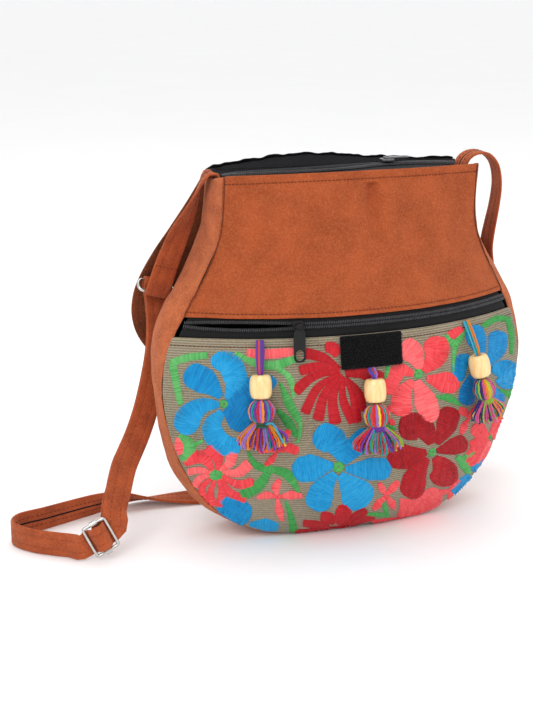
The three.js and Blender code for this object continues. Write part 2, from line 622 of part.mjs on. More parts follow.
// The pull: a barrel round the bridge's bar, and a blade below it with a finger hole.
function pullBlade() {
  const bore = BRIDGE.bar + PULL_PLAY;
  const ends = PULL.barrelLong / 2;
  const profile = [[bore, -ends], [PULL.barrel, -ends], [PULL.barrel, ends], [bore, ends], [bore, -ends]];
  const section = profile.map(([x, y]) => new THREE.Vector2(x, y));
  const barrel = new THREE.LatheGeometry(section, 10).rotateZ(Math.PI / 2);
  const bladeLong = PULL.long - bore - GAP;
  const blade = roundedRectangle(new THREE.Shape(), PULL.wide, bladeLong, PULL.corner);
  const holeY = PULL_HOLE.tall / 2 + PULL_HOLE.rim - bladeLong / 2;
  const hole = roundedRectangle(new THREE.Path(), PULL_HOLE.wide, PULL_HOLE.tall, PULL_HOLE.corner);
  blade.holes.push(new THREE.Path(hole.getPoints(2).map((p) => new THREE.Vector2(p.x, p.y + holeY))));
  const cut = { depth: PULL.thick, bevelEnabled: false, curveSegments: 3 };
  const plate = new THREE.ExtrudeGeometry(blade, cut);
  plate.translate(0, -bore - GAP - bladeLong / 2, -PULL.thick / 2);
  return joined([barrel, plate]);
}

const bridgeBar = onFront(ZIP_SLIDER_X, CHAIN, bridgeHeight);
const pullUp = sliderAxes.up.clone().applyAxisAngle(sliderAxes.along, PULL_LEAN);
const pullOut = sliderAxes.outwards.clone().applyAxisAngle(sliderAxes.along, PULL_LEAN);
addPiece("pocket_pull", placed(pullBlade(), sliderAxes.along, pullUp, pullOut, bridgeBar), "blackMetal");

// The loop-pile patch lies on the pocket under the zip.
function loopPatch() {
  const columns = spaced(PATCH.x - PATCH.wide / 2, PATCH.x + PATCH.wide / 2, 6);
  const rows = spaced(POCKET_HIGH - PATCH.tall, POCKET_HIGH, 3);
  const at = (proud) => grid(rows, columns, (z, x) => onFront(x, z, proud));
  return wall(at(GAP + PATCH.thick), at(GAP));
}
addPiece("loop_patch", loopPatch(), "pile");

// A rounded hump of height 1 at a place, dying out over its reach.
const hump = (value, at, reach) => Math.exp(-(((value - at) / reach) ** 2));

// A point of the flap: index along its rows, position across, and distance outwards from its suede's middle.
function flapPoint(t, across, inset) {
  const row = rowAt(FLAP, t);
  const fraction = t / (FLAP.length - 1);
  const x = across * (row.half - inset);
  const crest = hump(x, -FOLD_RISE_AT, FOLD_RISE_REACH) * hump(t, FOLD_RISE_ROW.at, FOLD_RISE_ROW.reach);
  const forward = across * across * (FLAP_FORWARD * fraction + HINGE_BOW * Math.exp(-t * t));
  const sag = FLAP_SAG * (1 - across * across) * fraction ** 6;
  return vector(-x, row.y - forward, row.z + FOLD_RISE * crest - sag);
}

function flapNormal(t, across) {
  const step = 0.02;
  const low = flapPoint(Math.max(t - step, 0), across, 0);
  const high = flapPoint(Math.min(t + step, FLAP.length - 1), across, 0);
  const beside = flapPoint(t, across + step, 0).sub(flapPoint(t, across - step, 0));
  return beside.cross(low.sub(high)).normalize();
}

const flapRows = spaced(0, FLAP.length - 1, FLAP.length - 1);

function flapSheet(rows, columns, inset, near, far, extra) {
  const at = (distance) =>
    grid(rows, columns, (t, across) => {
      const lift = distance + extra(t, across);
      return flapPoint(t, across, inset).addScaledVector(flapNormal(t, across), lift);
    });
  return wall(at(far), at(near));
}

const flat = () => 0;
addPiece("flap", flapSheet(flapRows, spaced(-1, 1, FLAP_COLUMNS), 0, -SUEDE / 2, SUEDE / 2, flat), "suede");

// The lining lies on the flap's outside as it hangs, crinkled where it turns over the fold.
const liningNear = SUEDE / 2 + 1.4 * GAP;
function crinkle(t, across) {
  const drift = CRINKLE_DRIFT.turn * Math.sin(across * CRINKLE_DRIFT.rate);
  const wave = 0.5 + 0.5 * Math.sin(across * CRINKLES * Math.PI + drift);
  return CRINKLE_DEEP * hump(t, CRINKLE_ROW.at, CRINKLE_ROW.reach) * wave;
}
const liningRows = flapRows.filter((t) => t > 0);
const lining = flapSheet(
  liningRows,
  spaced(-1, 1, LINING_COLUMNS),
  LINING_INSET,
  liningNear,
  liningNear + LINING,
  crinkle,
);
addPiece("flap_lining", lining, "lining");

// The mating patch sits on the lining near the flap's lower edge.
function flapPatch() {
  const near = liningNear + LINING + GAP;
  const half = PATCH.wide / 2 / rowAt(FLAP, FLAP_PATCH_ROW).half;
  const rowSpan = PATCH.tall / 2 / FLAP_PATCH_SPAN;
  const rows = spaced(FLAP_PATCH_ROW - rowSpan, FLAP_PATCH_ROW + rowSpan, 3);
  const at = (distance) =>
    grid(rows, spaced(-half, half, 4), (t, across) => {
      const x = (across * rowAt(FLAP, FLAP_PATCH_ROW).half) / rowAt(FLAP, t).half;
      return flapPoint(t, x, 0).addScaledVector(flapNormal(t, x), distance);
    });
  return wall(at(near + PATCH.thick), at(near));
}
addPiece("flap_patch", flapPatch(), "pile");

// The mouth zip: black facing and tape from each edge to its coil, parted to the left of the slider.
function mouthTape(side) {
  const lip = side < 0 ? "front" : "back";
  const wallY = (x) => {
    const t = TOP - MOUTH_SEAT.below;
    const row = rowAt(SECTIONS, t);
    const point = side < 0 ? frontPoint(t, x / row.half) : backPoint(t, -x / row.half);
    return point.y - side * (SUEDE + 2 * GAP);
  };
  const at = (lift) =>
    grid(spaced(0, MOUTH.length - 1, MOUTH_STEPS), spaced(0, 1, 3), (t, c) => {
      const row = rowAt(MOUTH, t);
      const seat = wallY(row.x);
      const y = seat + (row[lip] - seat) * c;
      const z = MOUTH_SEAT[lip] + (row[lip + "Z"] - MOUTH_SEAT[lip]) * Math.sin((c * Math.PI) / 2);
      return vector(row.x, y, z + lift);
    });
  return wall(at(TAPE), at(0));
}

function mouthCoil(side) {
  const lip = side < 0 ? "front" : "back";
  const at = (lift) =>
    grid(spaced(0, MOUTH.length - 1, MOUTH_STEPS), [0, 1], (t, c) => {
      const row = rowAt(MOUTH, t);
      const y = row[lip] + side * (c * COIL_WIDE - 0.5);
      return vector(row.x, y, row[lip + "Z"] + TAPE + GAP + lift);
    });
  return wall(at(COIL_THICK), at(0));
}

addPiece("mouth_tape_front", mouthTape(-1), "tape");
addPiece("mouth_tape_back", mouthTape(1), "tape");
addPiece("mouth_coil_front", mouthCoil(-1), "coil");
addPiece("mouth_coil_back", mouthCoil(1), "coil");

function mouthSlider() {
  const row = rowAt(MOUTH, indexWhere(MOUTH, "x", MOUTH_SLIDER_X));
  const low = row.frontZ + TAPE + COIL_THICK + 3 * GAP;
  const middle = (row.front + row.back) / 2;
  const plate = (size, thick) =>
    new THREE.ExtrudeGeometry(roundedRectangle(new THREE.Shape(), size.long, size.wide, size.corner), {
      depth: thick,
      bevelEnabled: false,
      curveSegments: 2,
    });
  const pull = plate(MOUTH_PULL, MOUTH_PULL.thick);
  pull.translate(MOUTH_PULL.long / 2 - MOUTH_PULL.overhang, 0, MOUTH_SLIDER.tall - MOUTH_PULL.bite);
  const body = plate(MOUTH_SLIDER, MOUTH_SLIDER.tall);
  return joined([body, pull]).translate(MOUTH_SLIDER_X, middle, low);
}
addPiece("mouth_slider", mouthSlider(), "steel");

// A wire bent round a rounded rectangle in the plane of two directions.
function wireLoop(middle, along, across, size, radius) {
  const long = size.long - 2 * radius;
  const outline = roundedRectangle(new THREE.Path(), long, size.tall - 2 * radius, size.corner);
  const route = outline.getPoints(2).slice(0, -1);
  const sides = 6;
  const normal = along.clone().cross(across).normalize();
  const points = [];
  const triangles = [];
  route.forEach((p, i) => {
    const before = route[(i + route.length - 1) % route.length];
    const after = route[(i + 1) % route.length];
    const tangent = after.clone().sub(before).normalize();
    const outwards = new THREE.Vector2(tangent.y, -tangent.x);
    for (let k = 0; k < sides; k += 1) {
      const angle = (k / sides) * Math.PI * 2;
      const x = p.x + outwards.x * Math.cos(angle) * radius;
      const y = p.y + outwards.y * Math.cos(angle) * radius;
      const place = middle.clone().addScaledVector(along, x).addScaledVector(across, y);
      points.push(place.addScaledVector(normal, Math.sin(angle) * radius));
      const next = ((i + 1) % route.length) * sides;
      const turn = (k + 1) % sides;
      triangles.push([i * sides + k, i * sides + turn, next + turn], [i * sides + k, next + turn, next + k]);
    }
  });
  return closedGeometry(points, triangles);
}

const ringAlong = RING_ALONG.clone().normalize();
const ringRise = RING_RISE.clone().addScaledVector(ringAlong, -RING_RISE.dot(ringAlong)).normalize();
const ringFront = vector(RING.x, RING.y, RING.z);
const ringReach = RING.tall - 2 * RING_WIRE;
const ringRear = ringFront.clone().addScaledVector(ringRise, ringReach);
const ringMiddle = ringFront.clone().addScaledVector(ringRise, ringReach / 2);
const ringLoop = wireLoop(ringMiddle, ringAlong, ringRise, RING, RING_WIRE);
addPiece("strap_ring", ringLoop, "steel");

// Stations of a turn round a wire, from one angle to another in the plane of two directions.
function turnStations(centre, first, second, wide, radius, from, to, steps) {
  return spaced(from, to, steps).map((angle) => {
    const at = centre.clone().addScaledVector(first, radius * Math.cos(angle));
    return {
      at: at.addScaledVector(second, radius * Math.sin(angle)),
      wide: wide.clone(),
      width: STRAP_WIDE,
      thick: STRAP_THICK,
    };
  });
}

// The tab ends in a loop round the ring's front wire: down its face, under it and a little way up behind.
function tabStations() {
  const run = stationsAlong(TAB, STRAP_STEP);
  const down = run.at(-1).at.clone().sub(run.at(-2).at);
  down.addScaledVector(ringAlong, -down.dot(ringAlong)).normalize();
  const face = ringAlong.clone().cross(down).normalize();
  if (face.y > 0) face.negate();
  const turn = turnStations(ringFront, face, down, ringAlong, TURN, -0.1, Math.PI + 0.3, 7);
  const lead = run.slice(0, -1).filter((station) => station.at.distanceTo(turn[0].at) > TAB_LEAD);
  return [...lead, ...turn];
}
addPiece("strap_tab", band(tabStations()), "suede");

// The strap: its sewn end turned round the slide's bar, up behind to the ring, over the ring's rear wire,
// down in front, through the slide, and along the single run to the right end of the mouth.
const slideMiddle = vector(SLIDE.x, SLIDE.y, SLIDE.z);
const slideAcross = SLIDE_ACROSS.clone().normalize();
const slideLean = SLIDE_ALONG.dot(slideAcross);
const slideAlong = SLIDE_ALONG.clone().addScaledVector(slideAcross, -slideLean).normalize();
const slideFace = slideAlong.clone().cross(slideAcross).normalize();

function slideStation(across, face) {
  const at = slideMiddle.clone().addScaledVector(slideAcross, across).addScaledVector(slideFace, face);
  return { at, wide: slideAlong.clone(), width: STRAP_WIDE, thick: STRAP_THICK };
}

function layerOf(doubled, side) {
  return doubled.map((station, i) => {
    const before = doubled[Math.max(i - 1, 0)].at;
    const after = doubled[Math.min(i + 1, doubled.length - 1)].at;
    const face = after.clone().sub(before).cross(station.wide).normalize();
    if (face.y > 0) face.negate();
    const at = station.at.clone().addScaledVector(face, (side * station.apart) / 2);
    return { ...station, at };
  });
}

function strapStations() {
  const doubled = stationsAlong(DOUBLED, STRAP_STEP);
  const front = layerOf(doubled, 1);
  const rear = layerOf(doubled, -1).reverse();
  const barTurn = SLIDE.bar + 2 * GAP + STRAP_THICK / 2;
  const overBar = barTurn + STRAP_THICK + GAP;
  const underWire = SLIDE_WIRE + 2 * GAP + STRAP_THICK / 2;
  const wireAt = SLIDE.tall / 2 - SLIDE_WIRE;
  const overHalf = wireAt * SLIDE_PASS.over;
  const inside = wireAt - SLIDE_WIRE - GAP;
  const outside = wireAt + SLIDE_WIRE + STRAP_THICK * SLIDE_PASS.clear;
  const behindLayer = underWire + STRAP_THICK + GAP;
  const sewnEnd = [
    slideStation(1, barTurn),
    slideStation(0, barTurn),
    slideStation(-barTurn * Math.SQRT1_2, barTurn * Math.SQRT1_2),
    slideStation(-barTurn, 0),
    slideStation(-barTurn * Math.SQRT1_2, -barTurn * Math.SQRT1_2),
    slideStation(0, -barTurn),
    slideStation(wireAt * SLIDE_PASS.behind, -behindLayer),
    slideStation(outside, -behindLayer),
  ];
  const upwards = vector(0, 0.2, 1);
  upwards.addScaledVector(ringAlong, -upwards.dot(ringAlong)).normalize();
  const behind = ringAlong.clone().cross(upwards).normalize();
  if (behind.y < 0) behind.negate();
  const overRing = turnStations(ringRear, behind, upwards, ringAlong, TURN, -0.2, Math.PI + 0.2, 7);
  const through = [
    slideStation(outside, -underWire),
    slideStation(inside, -underWire),
    slideStation(overHalf, overBar * SLIDE_PASS.sink),
    slideStation(0, overBar),
    slideStation(-overHalf, overBar * SLIDE_PASS.sink),
    slideStation(-inside, -underWire),
    slideStation(-outside, -underWire),
  ];
  return [...sewnEnd, ...rear, ...overRing, ...front, ...through, ...stationsAlong(SINGLE, STRAP_STEP)];
}
addPiece("strap", band(strapStations()), "suede");

const slideLoop = wireLoop(slideMiddle, slideAlong, slideAcross, SLIDE, SLIDE_WIRE);
addPiece("slide_frame", slideLoop, "steel");

// The slide's middle bar, held between the frame's short sides.
function slideBar() {
  const long = SLIDE.long - 4 * SLIDE_WIRE - 2 * GAP;
  const bar = new THREE.CylinderGeometry(SLIDE.bar, SLIDE.bar, long, 8);
  return placed(bar, slideAcross, slideAlong, slideAcross.clone().cross(slideAlong), slideMiddle);
}
addPiece("slide_bar", slideBar(), "steel");

// A tassel's three pieces: yarn hanger from the pocket's edge, drilled wooden bead, yarn ball with a skirt.
for (const tassel of TASSELS) {
  const bead = onFront(tassel.beadX, tassel.beadZ, BEAD.radius + CLEAR_OF_PANEL);
  const ball = onFront(tassel.ballX, tassel.ballZ, BALL.radius + CLEAR_OF_PANEL);
  const up = bead.clone().sub(ball).normalize();
  const beadOut = frontAxes(tassel.beadX, tassel.beadZ).outwards;
  const outwards = beadOut.clone().addScaledVector(up, -beadOut.dot(up)).normalize();
  const along = up.clone().cross(outwards);
  const ballTop = ball.clone().addScaledVector(up, BALL.tall / 2 + GAP);
  const beadTop = bead.clone().addScaledVector(up, BEAD.tall / 2 + HANGER_RADIUS);

  const start = onFront(tassel.topX, tassel.topZ, HANGER_RADIUS + GAP);
  const middle = start.clone().lerp(beadTop, 0.5).addScaledVector(outwards, 2 * GAP);
  const route = new THREE.CatmullRomCurve3([start, middle, beadTop, bead, ballTop]);
  const ring = new THREE.Shape();
  ring.absarc(0, 0, HANGER_RADIUS, 0, Math.PI * 2);
  const hanger = new THREE.ExtrudeGeometry(ring, { steps: 7, extrudePath: route, curveSegments: 3 });
  addPiece("hanger_" + tassel.name, hanger, "yarn");

  const half = BEAD.tall / 2;
  const profile = [
    [BEAD.bore, -half],
    [BEAD.end, -half],
    [BEAD.shoulder, -BEAD.shoulderAt],
    [BEAD.radius, -BEAD.bellyAt],
    [BEAD.radius, BEAD.bellyAt],
    [BEAD.shoulder, BEAD.shoulderAt],
    [BEAD.end, half],
    [BEAD.bore, half],
    [BEAD.bore, -half],
  ].map(([x, y]) => new THREE.Vector2(x, y));
  const drilled = new THREE.LatheGeometry(profile, 12);
  addPiece("bead_" + tassel.name, placed(drilled, along, up, along.clone().cross(up), bead), "wood");

  const head = new THREE.SphereGeometry(BALL.radius, 10, 6).scale(1, BALL.tall / 2 / BALL.radius, 1);
  const waist = new THREE.CylinderGeometry(WAIST.radius, WAIST.radius, WAIST.tall, 8);
  waist.translate(0, -BALL.tall / 2, 0);
  const locks = spaced(-1, 1, SKIRT.locks - 1).map((share, i) => {
    const lock = new THREE.CylinderGeometry(SKIRT.lock, SKIRT.tip, SKIRT.long, 4);
    lock.translate(0, -SKIRT.long / 2, 0);
    lock.rotateX((i % 2 ? 1 : -1) * SKIRT.lean);
    lock.rotateZ(share * SKIRT.spread);
    return lock.translate(share * SKIRT.root, -BALL.tall / 2, 0);
  });
  const tuft = joined([head, waist, ...locks]);
  addPiece("tassel_" + tassel.name, placed(tuft, along, up, along.clone().cross(up), ball), "yarn");
}

export default bag;
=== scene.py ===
import math
import random

import bmesh
import bpy
import numpy as np
from mathutils import Matrix, Vector, noise
from mathutils.bvhtree import BVHTree
from mathutils.geometry import convex_hull_2d


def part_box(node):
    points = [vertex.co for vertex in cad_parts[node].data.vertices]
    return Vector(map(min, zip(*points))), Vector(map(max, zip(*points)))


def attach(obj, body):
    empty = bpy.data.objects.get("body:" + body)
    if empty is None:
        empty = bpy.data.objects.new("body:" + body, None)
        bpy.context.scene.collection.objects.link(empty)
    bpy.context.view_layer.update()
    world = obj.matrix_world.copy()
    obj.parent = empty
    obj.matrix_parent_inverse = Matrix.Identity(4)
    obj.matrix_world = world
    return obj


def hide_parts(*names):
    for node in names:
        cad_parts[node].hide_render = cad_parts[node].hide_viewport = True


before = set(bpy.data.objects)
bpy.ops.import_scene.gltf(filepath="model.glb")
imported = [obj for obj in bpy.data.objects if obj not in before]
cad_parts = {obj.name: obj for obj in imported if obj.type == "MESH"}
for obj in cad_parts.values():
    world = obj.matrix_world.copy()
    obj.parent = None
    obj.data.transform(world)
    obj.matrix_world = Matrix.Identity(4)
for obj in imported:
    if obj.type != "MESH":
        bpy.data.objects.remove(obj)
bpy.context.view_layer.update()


# Room: a plain pale floor under a wide soft lamp on the left and a weaker one on the right.
# The camera stands a metre off to the front left, looking slightly down at the bag.
CAMERA_PLACE = (-0.4272, -0.9876, 0.4335)
CAMERA_YAW = math.radians(20.16)
CAMERA_PITCH = math.radians(-15.46)
CAMERA_LENS = 70.26
CAMERA_SENSOR = 36.0
CAMERA_NEAR = 0.05
FLOOR_REACH = 40.0
LAMPS = {
    "key": {"place": (-1.25, -1.5, 1.75), "size": 1.3, "power": 18.0},
    "fill": {"place": (1.7, -1.2, 1.0), "size": 1.6, "power": 6.0},
    "top": {"place": (0.1, 0.5, 1.9), "size": 1.4, "power": 8.0},
}
BAG_MIDDLE = Vector((-0.03, 0.0, 0.14))


def dye(red, green, blue):
    """Linear colour of an eight-bit screen colour."""
    parts = [part / 255 for part in (red, green, blue)]
    return (*[p / 12.92 if p <= 0.04045 else ((p + 0.055) / 1.055) ** 2.4 for p in parts], 1.0)


def start_look(name, **constants):
    """Material with the constant values of its shader set; underscores stand for spaces."""
    look = bpy.data.materials.new(name)
    look.use_nodes = True
    shader = look.node_tree.nodes["Principled BSDF"]
    for socket, value in constants.items():
        shader.inputs[socket.replace("_", " ")].default_value = value
    return look, look.node_tree, shader


def add_node(tree, kind, **settings):
    """Node with its settings; a capital starts the name of an input, with underscores for spaces."""
    node = tree.nodes.new(kind)
    for name, value in settings.items():
        if name[0].isupper():
            node.inputs[name.replace("_", " ")].default_value = value
        else:
            setattr(node, name, value)
    return node


def link(tree, *joins):
    """Links, each given as a node, its output, the next node and its input."""
    for source, output, target, socket in joins:
        tree.links.new(source.outputs[output], target.inputs[socket])


def add_object(name, mesh):
    made = bpy.data.objects.new(name, mesh)
    bpy.context.scene.collection.objects.link(made)
    return made


def mottle_group():
    """Cloudy patches and fine grain over a colour, with the grain as a height."""
    tree = bpy.data.node_groups.new("mottle", "ShaderNodeTree")
    for name in ("Colour", "Shade", "Bloom"):
        tree.interface.new_socket(name, in_out="INPUT", socket_type="NodeSocketColor")
    for name, value in (("Patch Scale", 30.0), ("Grain Scale", 900.0), ("Bloom Share", 0.5)):
        tree.interface.new_socket(name, in_out="INPUT", socket_type="NodeSocketFloat").default_value = value
    tree.interface.new_socket("Colour", in_out="OUTPUT", socket_type="NodeSocketColor")
    tree.interface.new_socket("Height", in_out="OUTPUT", socket_type="NodeSocketFloat")
    given = add_node(tree, "NodeGroupInput")
    out = add_node(tree, "NodeGroupOutput")
    place = add_node(tree, "ShaderNodeTexCoord")
    patch = add_node(tree, "ShaderNodeTexNoise", Detail=4.0, Roughness=0.62)
    grain = add_node(tree, "ShaderNodeTexNoise", Detail=3.0, Roughness=0.7)
    cloud = add_node(tree, "ShaderNodeMapRange", From_Min=0.38, From_Max=0.68)
    fleck = add_node(tree, "ShaderNodeMapRange", From_Min=0.42, From_Max=0.72)
    share = add_node(tree, "ShaderNodeMath", operation="MULTIPLY")
    shaded = add_node(tree, "ShaderNodeMix", data_type="RGBA")
    bloomed = add_node(tree, "ShaderNodeMix", data_type="RGBA")
    link(tree, (place, "Object", patch, "Vector"), (place, "Object", grain, "Vector"),
         (given, "Patch Scale", patch, "Scale"), (given, "Grain Scale", grain, "Scale"),
         (patch, "Fac", cloud, "Value"), (grain, "Fac", fleck, "Value"), (fleck, "Result", share, 0),
         (given, "Bloom Share", share, 1), (cloud, "Result", shaded, "Factor"),
         (given, "Colour", shaded, "A"), (given, "Shade", shaded, "B"),
         (share, "Value", bloomed, "Factor"), (shaded, "Result", bloomed, "A"),
         (given, "Bloom", bloomed, "B"), (bloomed, "Result", out, "Colour"),
         (grain, "Fac", out, "Height"))
    return tree


MOTTLE = mottle_group()


def add_mottle(tree, colours, patch, grain, bloom):
    """The mottle group placed in a material with its own colours and scales."""
    colour, shade, bright = (dye(*part) for part in colours)
    return add_node(tree, "ShaderNodeGroup", node_tree=MOTTLE, Colour=colour, Shade=shade, Bloom=bright,
                    Patch_Scale=patch, Grain_Scale=grain, Bloom_Share=bloom)


def add_relief(tree, shader, source, output, deep):
    """Fine relief on a shader from a node's height; deep is in metres."""
    bump = add_node(tree, "ShaderNodeBump", Distance=deep)
    link(tree, (source, output, bump, "Height"), (bump, "Normal", shader, "Normal"))


def mottled_look(name, colours, patch, grain, bloom, relief, **constants):
    """Material whose colour and fine relief come from the mottle group; relief is in metres."""
    look, tree, shader = start_look(name, **constants)
    mottle = add_mottle(tree, colours, patch, grain, bloom)
    link(tree, (mottle, "Colour", shader, "Base Color"))
    add_relief(tree, shader, mottle, "Height", relief)
    return look


floor_mesh = bpy.data.meshes.new("floor")
corners = [(x * FLOOR_REACH, y * FLOOR_REACH, 0) for x, y in ((-1, -1), (1, -1), (1, 1), (-1, 1))]
floor_mesh.from_pydata(corners, [], [(0, 1, 2, 3)])
floor_mesh.materials.append(mottled_look(
    "pale_floor", ((252, 252, 251), (250, 250, 249), (254, 254, 253)), 3.0, 60.0, 0.4, 0.00002,
    Roughness=0.7))
add_object("floor", floor_mesh)
for name, lamp in LAMPS.items():
    light = bpy.data.lights.new(name, "AREA")
    light.energy = lamp["power"]
    light.size = lamp["size"]
    holder = add_object(name, light)
    holder.location = lamp["place"]
    holder.rotation_euler = (BAG_MIDDLE - holder.location).to_track_quat("-Z", "Y").to_euler()
world = bpy.data.worlds.new("soft_room")
world.use_nodes = True
world.node_tree.nodes["Background"].inputs["Color"].default_value = dye(250, 250, 252)
world.node_tree.nodes["Background"].inputs["Strength"].default_value = 1.0
scene = bpy.context.scene
scene.world = world
scene.view_settings.view_transform = "Standard"
camera = bpy.data.cameras.new("camera")
camera.lens = CAMERA_LENS
camera.sensor_width = CAMERA_SENSOR
camera.dof.use_dof = False
camera.clip_start = CAMERA_NEAR
stand = add_object("camera", camera)
stand.location = CAMERA_PLACE
stand.rotation_euler = (math.pi / 2 + CAMERA_PITCH, 0.0, -CAMERA_YAW)
scene.camera = stand


# Suede body: the upper front, the gusset strip round both sides and the base, and the back.
# Soft brushed leather with a cloudy nap, lined in black, sewn together along turned edges.
# The upper front has a stitched hem at the mouth and another along the zip.
HEM_BELOW = 0.0062
HEM_ABOVE = 0.0042
SEAM_INSET = 0.0008
GROOVE_DEEP = 0.0006
GROOVE_WIDE = 0.0013
CREASE = 0.52
SHARP = math.radians(48)
FRONT = np.array((0.0, -1.0, 0.0))
BACK = np.array((0.0, 1.0, 0.0))
AXIS = np.array((0.0, 0.006, 0.135))
FOLD_X, FOLD_WIDE, FOLD_DEEP = 0.0125, 0.0042, 0.0058
FOLD_LOW, FOLD_HIGH = 0.222, 0.2755
FOLD_ROLL = 0.5
FOLD_END = 0.003
STITCH_PROUD = 0.00012
SEAM_PROUD = 0.00015
MERGE_WITHIN = 1e-5
YOKE_WINDOW = ((-0.138, 0.182), (0.138, 0.288))
YOKE_WAVES = ((0.0010, 0.045, 3), (0.0005, 0.017, 5))
BACK_WAVES = ((0.0012, 0.05, 11), (0.0004, 0.016, 12))
GUSSET_WAVES = ((0.0020, 0.030, 21), (0.0007, 0.012, 22))
BASE_TOP, BASE_FADE = 0.006, 0.02
SUEDE_NAP = {"Roughness": 0.95, "Sheen_Roughness": 0.45, "Specular_IOR_Level": 0.15}
SEAM_THREAD = ((106, 48, 29), (76, 33, 20), (136, 70, 45))

suede_look = mottled_look(
    "suede", ((166, 78, 41), (144, 65, 33), (198, 116, 75)), 38.0, 660.0, 0.42, 0.0009,
    Sheen_Weight=0.14, Sheen_Tint=dye(255, 205, 170), **SUEDE_NAP)
# The gusset's suede is painted lighter than the front's: painted light, as its left strip faces the key
# lamp.
lit_gusset_look = mottled_look(
    "suede_gusset", ((182, 94, 54), (150, 69, 37), (212, 134, 92)), 78.0, 660.0, 0.5, 0.0009,
    Sheen_Weight=0.16, Sheen_Tint=dye(255, 210, 178), **SUEDE_NAP)
# The lining's light flecks are painted sheen on its crinkles; the darker cloud is its own uneven black.
lining_look = mottled_look(
    "black_lining", ((22, 22, 24), (13, 13, 14), (56, 56, 60)), 60.0, 1100.0, 0.5, 0.0008,
    Roughness=0.6, Sheen_Weight=0.03, Specular_IOR_Level=0.18)


def evaluated(piece):
    """Plain mesh of an object with its modifiers applied."""
    return bpy.data.meshes.new_from_object(piece.evaluated_get(bpy.context.evaluated_depsgraph_get()))


def squared(node):
    """Merged copy of a faceted solid with its triangles joined in pairs."""
    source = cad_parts[node]
    shape = bmesh.new()
    shape.from_mesh(source.data)
    shape.transform(source.matrix_world)
    bmesh.ops.remove_doubles(shape, verts=shape.verts, dist=MERGE_WITHIN)
    bmesh.ops.join_triangles(
        shape, faces=shape.faces, angle_face_threshold=SHARP, angle_shape_threshold=math.pi)
    return shape


def smooth(piece):
    piece.data.polygons.foreach_set("use_smooth", [True] * len(piece.data.polygons))
    piece.data.update()
    return piece


def smooth_copy(node, name, levels, creased=True):
    """Rounded, finer copy of a faceted solid; creased keeps its sharp borders in place."""
    shape = squared(node)
    if creased:
        layer = shape.edges.layers.float.new("crease_edge")
        for edge in shape.edges:
            if edge.calc_face_angle(0.0) > SHARP:
                edge[layer] = CREASE
    mesh = bpy.data.meshes.new(name)
    shape.to_mesh(mesh)
    shape.free()
    piece = add_object(name, mesh)
    rounding = piece.modifiers.new("rounding", "SUBSURF")
    rounding.levels = rounding.render_levels = levels
    piece.data = evaluated(piece)
    piece.modifiers.remove(rounding)
    return smooth(piece)


def points_of(piece):
    places = np.empty(3 * len(piece.data.vertices))
    piece.data.vertices.foreach_get("co", places)
    return places.reshape(-1, 3)


def set_points(piece, places):
    piece.data.vertices.foreach_set("co", places.ravel())
    piece.data.update()


def ripple(places, wide, seed):
    """Smooth noise between -1 and 1 with the given width."""
    return np.array([noise.noise(Vector(p) / wide + Vector((seed, 2 * seed, 3 * seed))) for p in places])


def waves(places, *sizes):
    """Soft unevenness as a sum of ripples, each given by its height, width and seed."""
    return sum(height * ripple(places, wide, seed) for height, wide, seed in sizes)


def ramp(values, start, length):
    """Share between nought and one over a length from the start."""
    return np.clip((values - start) / length, 0.0, 1.0)


def unit_rows(rows):
    return rows / np.linalg.norm(rows, axis=1, keepdims=True)


def groove(distance):
    """Shallow hollow that a row of stitches draws into the suede or the cloth."""
    return -GROOVE_DEEP * np.exp(-(distance / GROOVE_WIDE) ** 2)


def two_sided(piece, outer, inner, outwards):
    """Gives the faces looking outwards one material and the rest the other."""
    piece.data.materials.append(outer)
    piece.data.materials.append(inner)
    faces = piece.data.polygons
    normals = np.empty(3 * len(faces))
    centres = np.empty(3 * len(faces))
    faces.foreach_get("normal", normals)
    faces.foreach_get("center", centres)
    facing = np.sum(normals.reshape(-1, 3) * outwards(centres.reshape(-1, 3)), axis=1)
    faces.foreach_set("material_index", (facing < -0.3).astype(int))
    piece.data.update()


def away_from_axis(places):
    """Outward direction round the bag's middle, seen from the front."""
    return unit_rows((places - AXIS) * (1.0, 0.0, 1.0))


def surface_of(piece, low, high, step, back=False):
    """Grid of a surface's depth seen from the front or the back, read from the piece's own mesh."""
    tree = BVHTree.FromPolygons(
        [v.co for v in piece.data.vertices], [f.vertices for f in piece.data.polygons])
    across = np.arange(low[0], high[0] + step, step)
    up = np.arange(low[1], high[1] + step, step)
    depth = np.full((len(up), len(across)), np.nan)
    side = 1 if back else -1
    for row, z in enumerate(up):
        for column, x in enumerate(across):
            hit = tree.ray_cast(Vector((x, side * 0.4, z)), Vector((0, -side, 0)))[0]
            if hit is not None:
                depth[row, column] = hit.y
        known = ~np.isnan(depth[row])
        if known.any():
            depth[row] = np.interp(across, across[known], depth[row][known])
    filled = ~np.isnan(depth[:, 0])
    for column in range(len(across)):
        depth[:, column] = np.interp(up, up[filled], depth[filled, column])
    return across, up, depth, side


def depth_at(surface, x, z):
    """Depth of a surface at a place, between the four nearest points of its grid."""
    across, up, depth = surface[:3]
    column = min(max((x - across[0]) / (across[1] - across[0]), 0), len(across) - 1.001)
    row = min(max((z - up[0]) / (up[1] - up[0]), 0), len(up) - 1.001)
    c, r = int(column), int(row)
    u, v = column - c, row - r
    lower = depth[r, c] * (1 - u) + depth[r, c + 1] * u
    upper = depth[r + 1, c] * (1 - u) + depth[r + 1, c + 1] * u
    return lower * (1 - v) + upper * v


def lie_on(surface, x, z, proud=0.0):
    """Point on a surface, moved outwards, and the way the surface looks there."""
    reach = 0.003
    side = surface[3]
    slope_x = (depth_at(surface, x + reach, z) - depth_at(surface, x - reach, z)) / (2 * reach)
    slope_z = (depth_at(surface, x, z + reach) - depth_at(surface, x, z - reach)) / (2 * reach)
    out = Vector((-side * slope_x, side, -side * slope_z)).normalized()
    return Vector((x, depth_at(surface, x, z), z)) + out * proud, out


